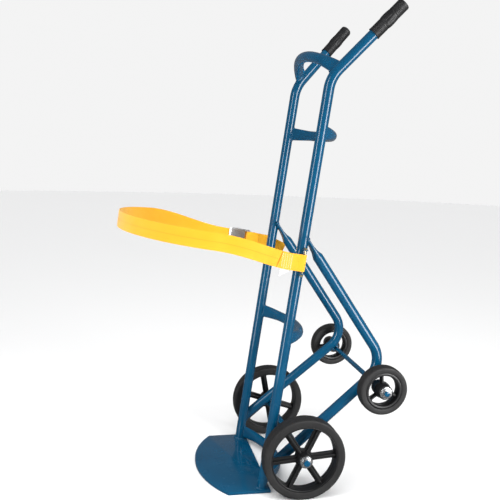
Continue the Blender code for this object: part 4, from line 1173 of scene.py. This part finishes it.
# along one stitch: share of its length, share of the thread's radius, height over the cloth
STITCH_BULGE = ((0.0, 0.35, -0.0002), (0.18, 0.9, 0.0001), (0.5, 1.0, 0.00022), (0.82, 0.9, 0.0001),
                (1.0, 0.35, -0.0002))


def stitches(name, place, lines):
    """Lock stitches along polylines of (back, up) places, each a short bulged thread on the cloth.

    place turns (back, up) into a point on the cloth and the way out from it.
    """
    vertices, faces = [], []
    for line in lines:
        for start, finish in zip(line, line[1:]):
            span = math.dist(start, finish)
            count = max(1, round(span / STITCH_LENGTH))
            for index in range(count):
                ends = []
                for share in ((index + 0.10) / count, (index + 0.90) / count):
                    ends.append(tuple(a + (b - a) * share for a, b in zip(start, finish)))
                (a, out), (b, _) = place(*ends[0]), place(*ends[1])
                along = (b - a).normalized()
                side = along.cross(out).normalized()
                base = len(vertices)
                for share, size, lift in STITCH_BULGE:
                    centre = a.lerp(b, share) + out * lift
                    vertices += cord_ring(centre, side, out, THREAD_R * size, THREAD_SIDES)
                rows = len(STITCH_BULGE) - 1
                for row in range(rows):
                    for k in range(THREAD_SIDES):
                        corners = quad(row, row + 1, k, (k + 1) % THREAD_SIDES, THREAD_SIDES)
                        faces.append(tuple(base + corner for corner in corners))
                faces.append(tuple(base + k for k in reversed(range(THREAD_SIDES))))
                faces.append(tuple(base + rows * THREAD_SIDES + k for k in range(THREAD_SIDES)))
    mesh = mesh_from(name, vertices, faces)
    face_outwards(mesh)
    return piece(name, mesh, "white_tag", matrix=TRUCK, surface=WHITE_THREAD, sharp=70.0)


def on_overlap(back, up):
    centre = near_point(back, LAYER + STRAP_THICKNESS / 2.0)
    return Vector((centre.x, centre.y, centre.z + up)), outward


def on_short(back, up):
    centre = short_point(back, HALF_LAYER + STRAP_THICKNESS / 2.0)
    return Vector((centre.x, centre.y, centre.z + up)), far_outward


def zigzags(low, high, half, count):
    """Zigzag rows that run across the width of the strap."""
    lines = []
    for index in range(count):
        back = low + (high - low) * index / (count - 1)
        lines.append([(back + (0.0022 if step % 2 else -0.0022), half - 2.0 * half * step / 14)
                      for step in range(15)])
    return lines


stitches("overlap_stitching", on_overlap, zigzags(0.0455, 0.0810, 0.0215, 5))
stitches("buckle_strap_stitching", on_short, zigzags(0.0280, 0.0560, 0.0215, 4))


def cut_edge(name, centre, tangent, slant):
    """The strap's heat-sealed end, a thin hard lip across it."""
    across = (UPRIGHT - tangent * UPRIGHT.dot(tangent)).normalized()
    face = tangent.cross(across)
    loops = []
    for step in range(41):
        share = step / 40 - 0.5
        wide = share * STRAP_WIDTH
        middle_of = centre + across * (wide * 0.995) + tangent * (slant * wide)
        size = (1.0 + 0.12 * random.random()) * (0.4 + 0.6 * smooth(min(step, 40 - step) / 2.0))
        loops.append([middle_of + (tangent * (0.0009 * math.cos(t)) + face * (0.00118 * math.sin(t))) * size
                      for t in turns(10)])
    mesh = loops_mesh(name, loops)
    face_outwards(mesh)
    return piece(name, mesh, "yellow_webbing", matrix=TRUCK, surface=SEALED_EDGE, sharp=70.0)


near_lip = cut_edge("strap_near_cut_edge", strap_line[0], (strap_line[1] - strap_line[0]).normalized(),
                    NEAR_SLANT)
far_lip = cut_edge("strap_far_cut_edge", strap_line[-1], (strap_line[-1] - strap_line[-2]).normalized(),
                   FAR_SLANT)

# ---------------------------------------------------------------- tag
TAG_FROM, TAG_TO = 0.079, 0.045      # in front of the bolt
TAG_TOP, TAG_DROP = -0.012, 0.0310   # from the strap's middle, and down its longer edge
rows, columns = 16, 20
tag_sides = []
for face in (-0.0003, 0.0003):
    for column in range(columns + 1):
        share = column / columns
        back = TAG_FROM + (TAG_TO - TAG_FROM) * share
        foot = TAG_DROP - 0.0100 * smooth(share)
        for row in range(rows + 1):
            fall = row / rows
            curl = 0.0030 * fall * fall * math.sin(math.pi * (0.25 + 0.9 * share))
            spot = near_point(back, -STRAP_THICKNESS / 2.0 - 0.0008 + face - curl)
            tag_sides.append(Vector((spot.x, spot.y, STRAP_LOW + TAG_TOP - foot * fall + 0.006 * share)))
grid = (rows + 1) * (columns + 1)
tag_faces = []
for column in range(columns):
    for row in range(rows):
        a = column * (rows + 1) + row
        square = (a, a + 1, a + rows + 2, a + rows + 1)
        tag_faces += [square, tuple(grid + corner for corner in reversed(square))]
border = [(rows + 1) * c for c in range(columns + 1)]
border += [(rows + 1) * columns + r for r in range(1, rows + 1)]
border += [(rows + 1) * c + rows for c in range(columns - 1, -1, -1)]
border += list(range(rows - 1, 0, -1))
for a, b in zip(border, border[1:] + border[:1]):
    tag_faces.append((a, b, grid + b, grid + a))
tag_mesh = mesh_from("sewn_tag", tag_sides, tag_faces)
face_outwards(tag_mesh)
layer = tag_mesh.uv_layers.new(name="weave")
for loop in tag_mesh.loops:
    column, row = divmod(loop.vertex_index % grid, rows + 1)
    layer.data[loop.index].uv = (34.0 * column / columns, 40.0 * row / rows)
tag = piece("sewn_tag", tag_mesh, "white_tag", matrix=TRUCK, nodes=("strap_tag",), sharp=60.0)

# ---------------------------------------------------------------- cam buckle
BUCKLE = TRUCK @ Matrix.Translation(far_point(BUCKLE_BACK, GAP)) @ Matrix((
    (far_rearward.x, 0.0, far_outward.x), (far_rearward.y, 0.0, far_outward.y), (0.0, -1.0, 0.0))).to_4x4()
STAND = Matrix.Rotation(math.pi / 2.0, 4, "X")   # turns a flat outline up on its edge
EAR_OUTLINE = [(-0.030, 0.0), (0.038, 0.0), (0.038, 0.0100), (0.030, 0.0112), (0.012, 0.0160),
               (-0.001, 0.0210), (-0.015, 0.0210), (-0.030, 0.0080)]
CAM_HALF = 0.0235
# the cam's outline about its pin: (angle from straight down towards the bolt, radius)
CAM_SWEEP = ((-60, 0.0064), (-35, 0.0070), (-15, 0.0076), (0, 0.0080), (12, 0.0082), (25, 0.0085),
             (45, 0.0075), (80, 0.0065), (120, 0.0060), (160, 0.0058))
CAM_PLACE = BUCKLE @ Matrix.Translation((CAM_PIN[0], 0.0, CAM_PIN[1])) @ STAND

base_outline = rounded([(-0.035, -0.0284), (0.022, -0.0284), (0.022, 0.0284), (-0.035, 0.0284)], 0.004, 5)
holes = [circle(*CAM_PIN, PIN_R + GAP, 40), circle(*ANCHOR_PIN, PIN_R + GAP, 40)]
shell = [bevelled(slab_mesh("base", [base_outline], GAP, BASE_TOP), 0.0005, 2)]
for low, high in ((0.0270, 0.0295), (-0.0295, -0.0270)):
    ear = bevelled(slab_mesh("ear", [rounded(EAR_OUTLINE, 0.003, 5)] + holes, low, high), 0.0004, 2)
    ear.transform(STAND)
    shell.append(ear)
piece("buckle_shell", combined("buckle_shell", shell), "zinc_plate", matrix=BUCKLE,
      nodes=("buckle_frame",), sharp=30.0)

for name, (x, z) in (("buckle_cam_pin", CAM_PIN), ("buckle_anchor_pin", ANCHOR_PIN)):
    top = 0.0298
    rivet = [(0.0, top + 0.0016), (0.0026, top + 0.0015), (0.0040, top + 0.0010), (0.0046, top + 0.0004),
             (0.0046, top), (PIN_R, top), (PIN_R, -top), (0.0046, -top), (0.0046, -top - 0.0004),
             (0.0040, -top - 0.0010), (0.0026, -top - 0.0015), (0.0, -top - 0.0016)]
    piece(f"{name}_rivet", lathe_mesh(name, rivet, 40, close=False), "zinc_plate",
          matrix=BUCKLE @ Matrix.Translation((x, 0.0, z)) @ STAND, nodes=(name,))

# (along, above) the lever's own line: out along its top, round its tip and back underneath
LEVER_OUTLINE = ((0.008, 0.0034), (0.018, 0.0029), (0.030, 0.0027), (0.040, 0.0022), (0.0435, 0.0012),
                 (0.0440, 0.0002), (0.0432, -0.0008), (0.034, -0.0006), (0.022, -0.0010),
                 (0.010, -0.0022))
rise = math.radians(35.0)
lever_along = Vector((-math.cos(rise), math.sin(rise)))
lever_up = Vector((math.sin(rise), math.cos(rise)))
cam = [(r * math.sin(math.radians(a)), -r * math.cos(math.radians(a))) for a, r in CAM_SWEEP]
for reach, lift in LEVER_OUTLINE:
    cam.append(tuple(lever_along * reach + lever_up * lift))
pin_hole = circle(0.0, 0.0, PIN_R + GAP, 40)
lever = bevelled(slab_mesh("lever", [cam, pin_hole], -CAM_HALF, CAM_HALF), 0.0005, 2)
piece("buckle_thumb_lever", lever, "zinc_plate", "buckle_cam", CAM_PLACE,
      nodes=("buckle_cam_lever",), sharp=30.0)

COIL_TURNS, COIL_STEPS, COIL_R = 3, 48, 0.0041
coil = []
for index in range(COIL_TURNS * COIL_STEPS + 1):
    turn = 2.0 * math.pi * index / COIL_STEPS
    height = CAM_HALF + 0.0008 + 0.0020 * index / (COIL_TURNS * COIL_STEPS)
    coil.append(Vector((COIL_R * math.cos(turn), COIL_R * math.sin(turn), height)))
loops = []
for centre, tangent in zip(coil, directions(coil)):
    side = Vector((centre.x, centre.y, 0.0)).normalized()
    up = tangent.cross(side)
    loops.append(cord_ring(centre, side, up, 0.0004))
piece("buckle_coil_spring", loops_mesh("spring", loops), "bush_steel",
      matrix=CAM_PLACE, nodes=("buckle_spring",), sharp=60.0)

# ---------------------------------------------------------------- floor, light and camera
def plain(name, colour, roughness):
    made = bpy.data.materials.new(name)
    made.use_nodes = True
    shader = made.node_tree.nodes["Principled BSDF"]
    shader.inputs["Base Color"].default_value = (*colour, 1.0)
    shader.inputs["Roughness"].default_value = roughness
    return made


floor_mesh = mesh_from("floor", [(-14, -14, 0), (14, -14, 0), (14, 14, 0), (-14, 14, 0)], [(0, 1, 2, 3)])
floor = bpy.data.objects.new("floor", floor_mesh)
floor.data.materials.append(plain("pale_floor", (0.90, 0.90, 0.90), 0.75))
bpy.context.scene.collection.objects.link(floor)
floor.location.z = -0.0004
floor.visible_glossy = False

# A pale backdrop all round the floor. It is only seen: it neither lights nor shows in the gloss.
DOME_R = 13.0
quarter = [math.pi * step / 48.0 for step in range(25)]
dome = [(DOME_R, -0.01)] + [(DOME_R * math.cos(t), DOME_R * math.sin(t)) for t in quarter]
backdrop = bpy.data.objects.new("backdrop", lathe_mesh("backdrop", dome, 96, close=False))
glow = plain("backdrop_white", (0.0, 0.0, 0.0), 1.0)
glow.node_tree.nodes["Principled BSDF"].inputs["Emission Color"].default_value = (0.90, 0.90, 0.90, 1.0)
glow.node_tree.nodes["Principled BSDF"].inputs["Emission Strength"].default_value = 1.0
backdrop.data.materials.append(glow)
bpy.context.scene.collection.objects.link(backdrop)
backdrop.visible_diffuse = backdrop.visible_glossy = False
backdrop.visible_transmission = backdrop.visible_shadow = False

world = bpy.data.worlds.new("studio")
world.use_nodes = True
world.node_tree.nodes["Background"].inputs["Color"].default_value = (0.97, 0.98, 1.0, 1.0)
world.node_tree.nodes["Background"].inputs["Strength"].default_value = 0.17
bpy.context.scene.world = world
bpy.context.scene.view_settings.view_transform = "Standard"


def softbox(name, place, target, size, radiance):
    """A rectangular light of a given brightness, size (wide, high) in metres."""
    light = bpy.data.lights.new(name, "AREA")
    light.shape = "RECTANGLE"
    light.size, light.size_y = size
    light.energy = radiance * math.pi * size[0] * size[1]
    holder = bpy.data.objects.new(name, light)
    holder.location = place
    holder.rotation_euler = (Vector(target) - Vector(place)).to_track_quat("-Z", "Y").to_euler()
    bpy.context.scene.collection.objects.link(holder)


softbox("strip_right", (1.68, 1.33, 1.15), (0.15, 0.12, 1.15), (0.80, 2.3), 11.0)
softbox("strip_left", (0.97, -1.78, 1.15), (0.15, 0.05, 1.15), (0.46, 2.3), 9.0)
sun = bpy.data.lights.new("overhead", "SUN")
sun.energy = 2.75
sun.angle = 1.2
overhead = bpy.data.objects.new("overhead", sun)
overhead.rotation_euler = (0.20, 0.22, 0.0)
overhead.visible_glossy = False
bpy.context.scene.collection.objects.link(overhead)

lens = bpy.data.cameras.new("camera")
lens.sensor_width = 36.0
lens.lens = 49.03
lens.shift_x, lens.shift_y = 0.025004, 0.012506
lens.clip_start, lens.clip_end = 0.05, 100.0
camera = bpy.data.objects.new("camera", lens)
camera.location = (2.1141, -0.469484, 1.054849)
camera.rotation_euler = [math.radians(angle) for angle in (80.8233, -1.70749, 79.38214)]
bpy.context.scene.collection.objects.link(camera)
bpy.context.scene.camera = camera
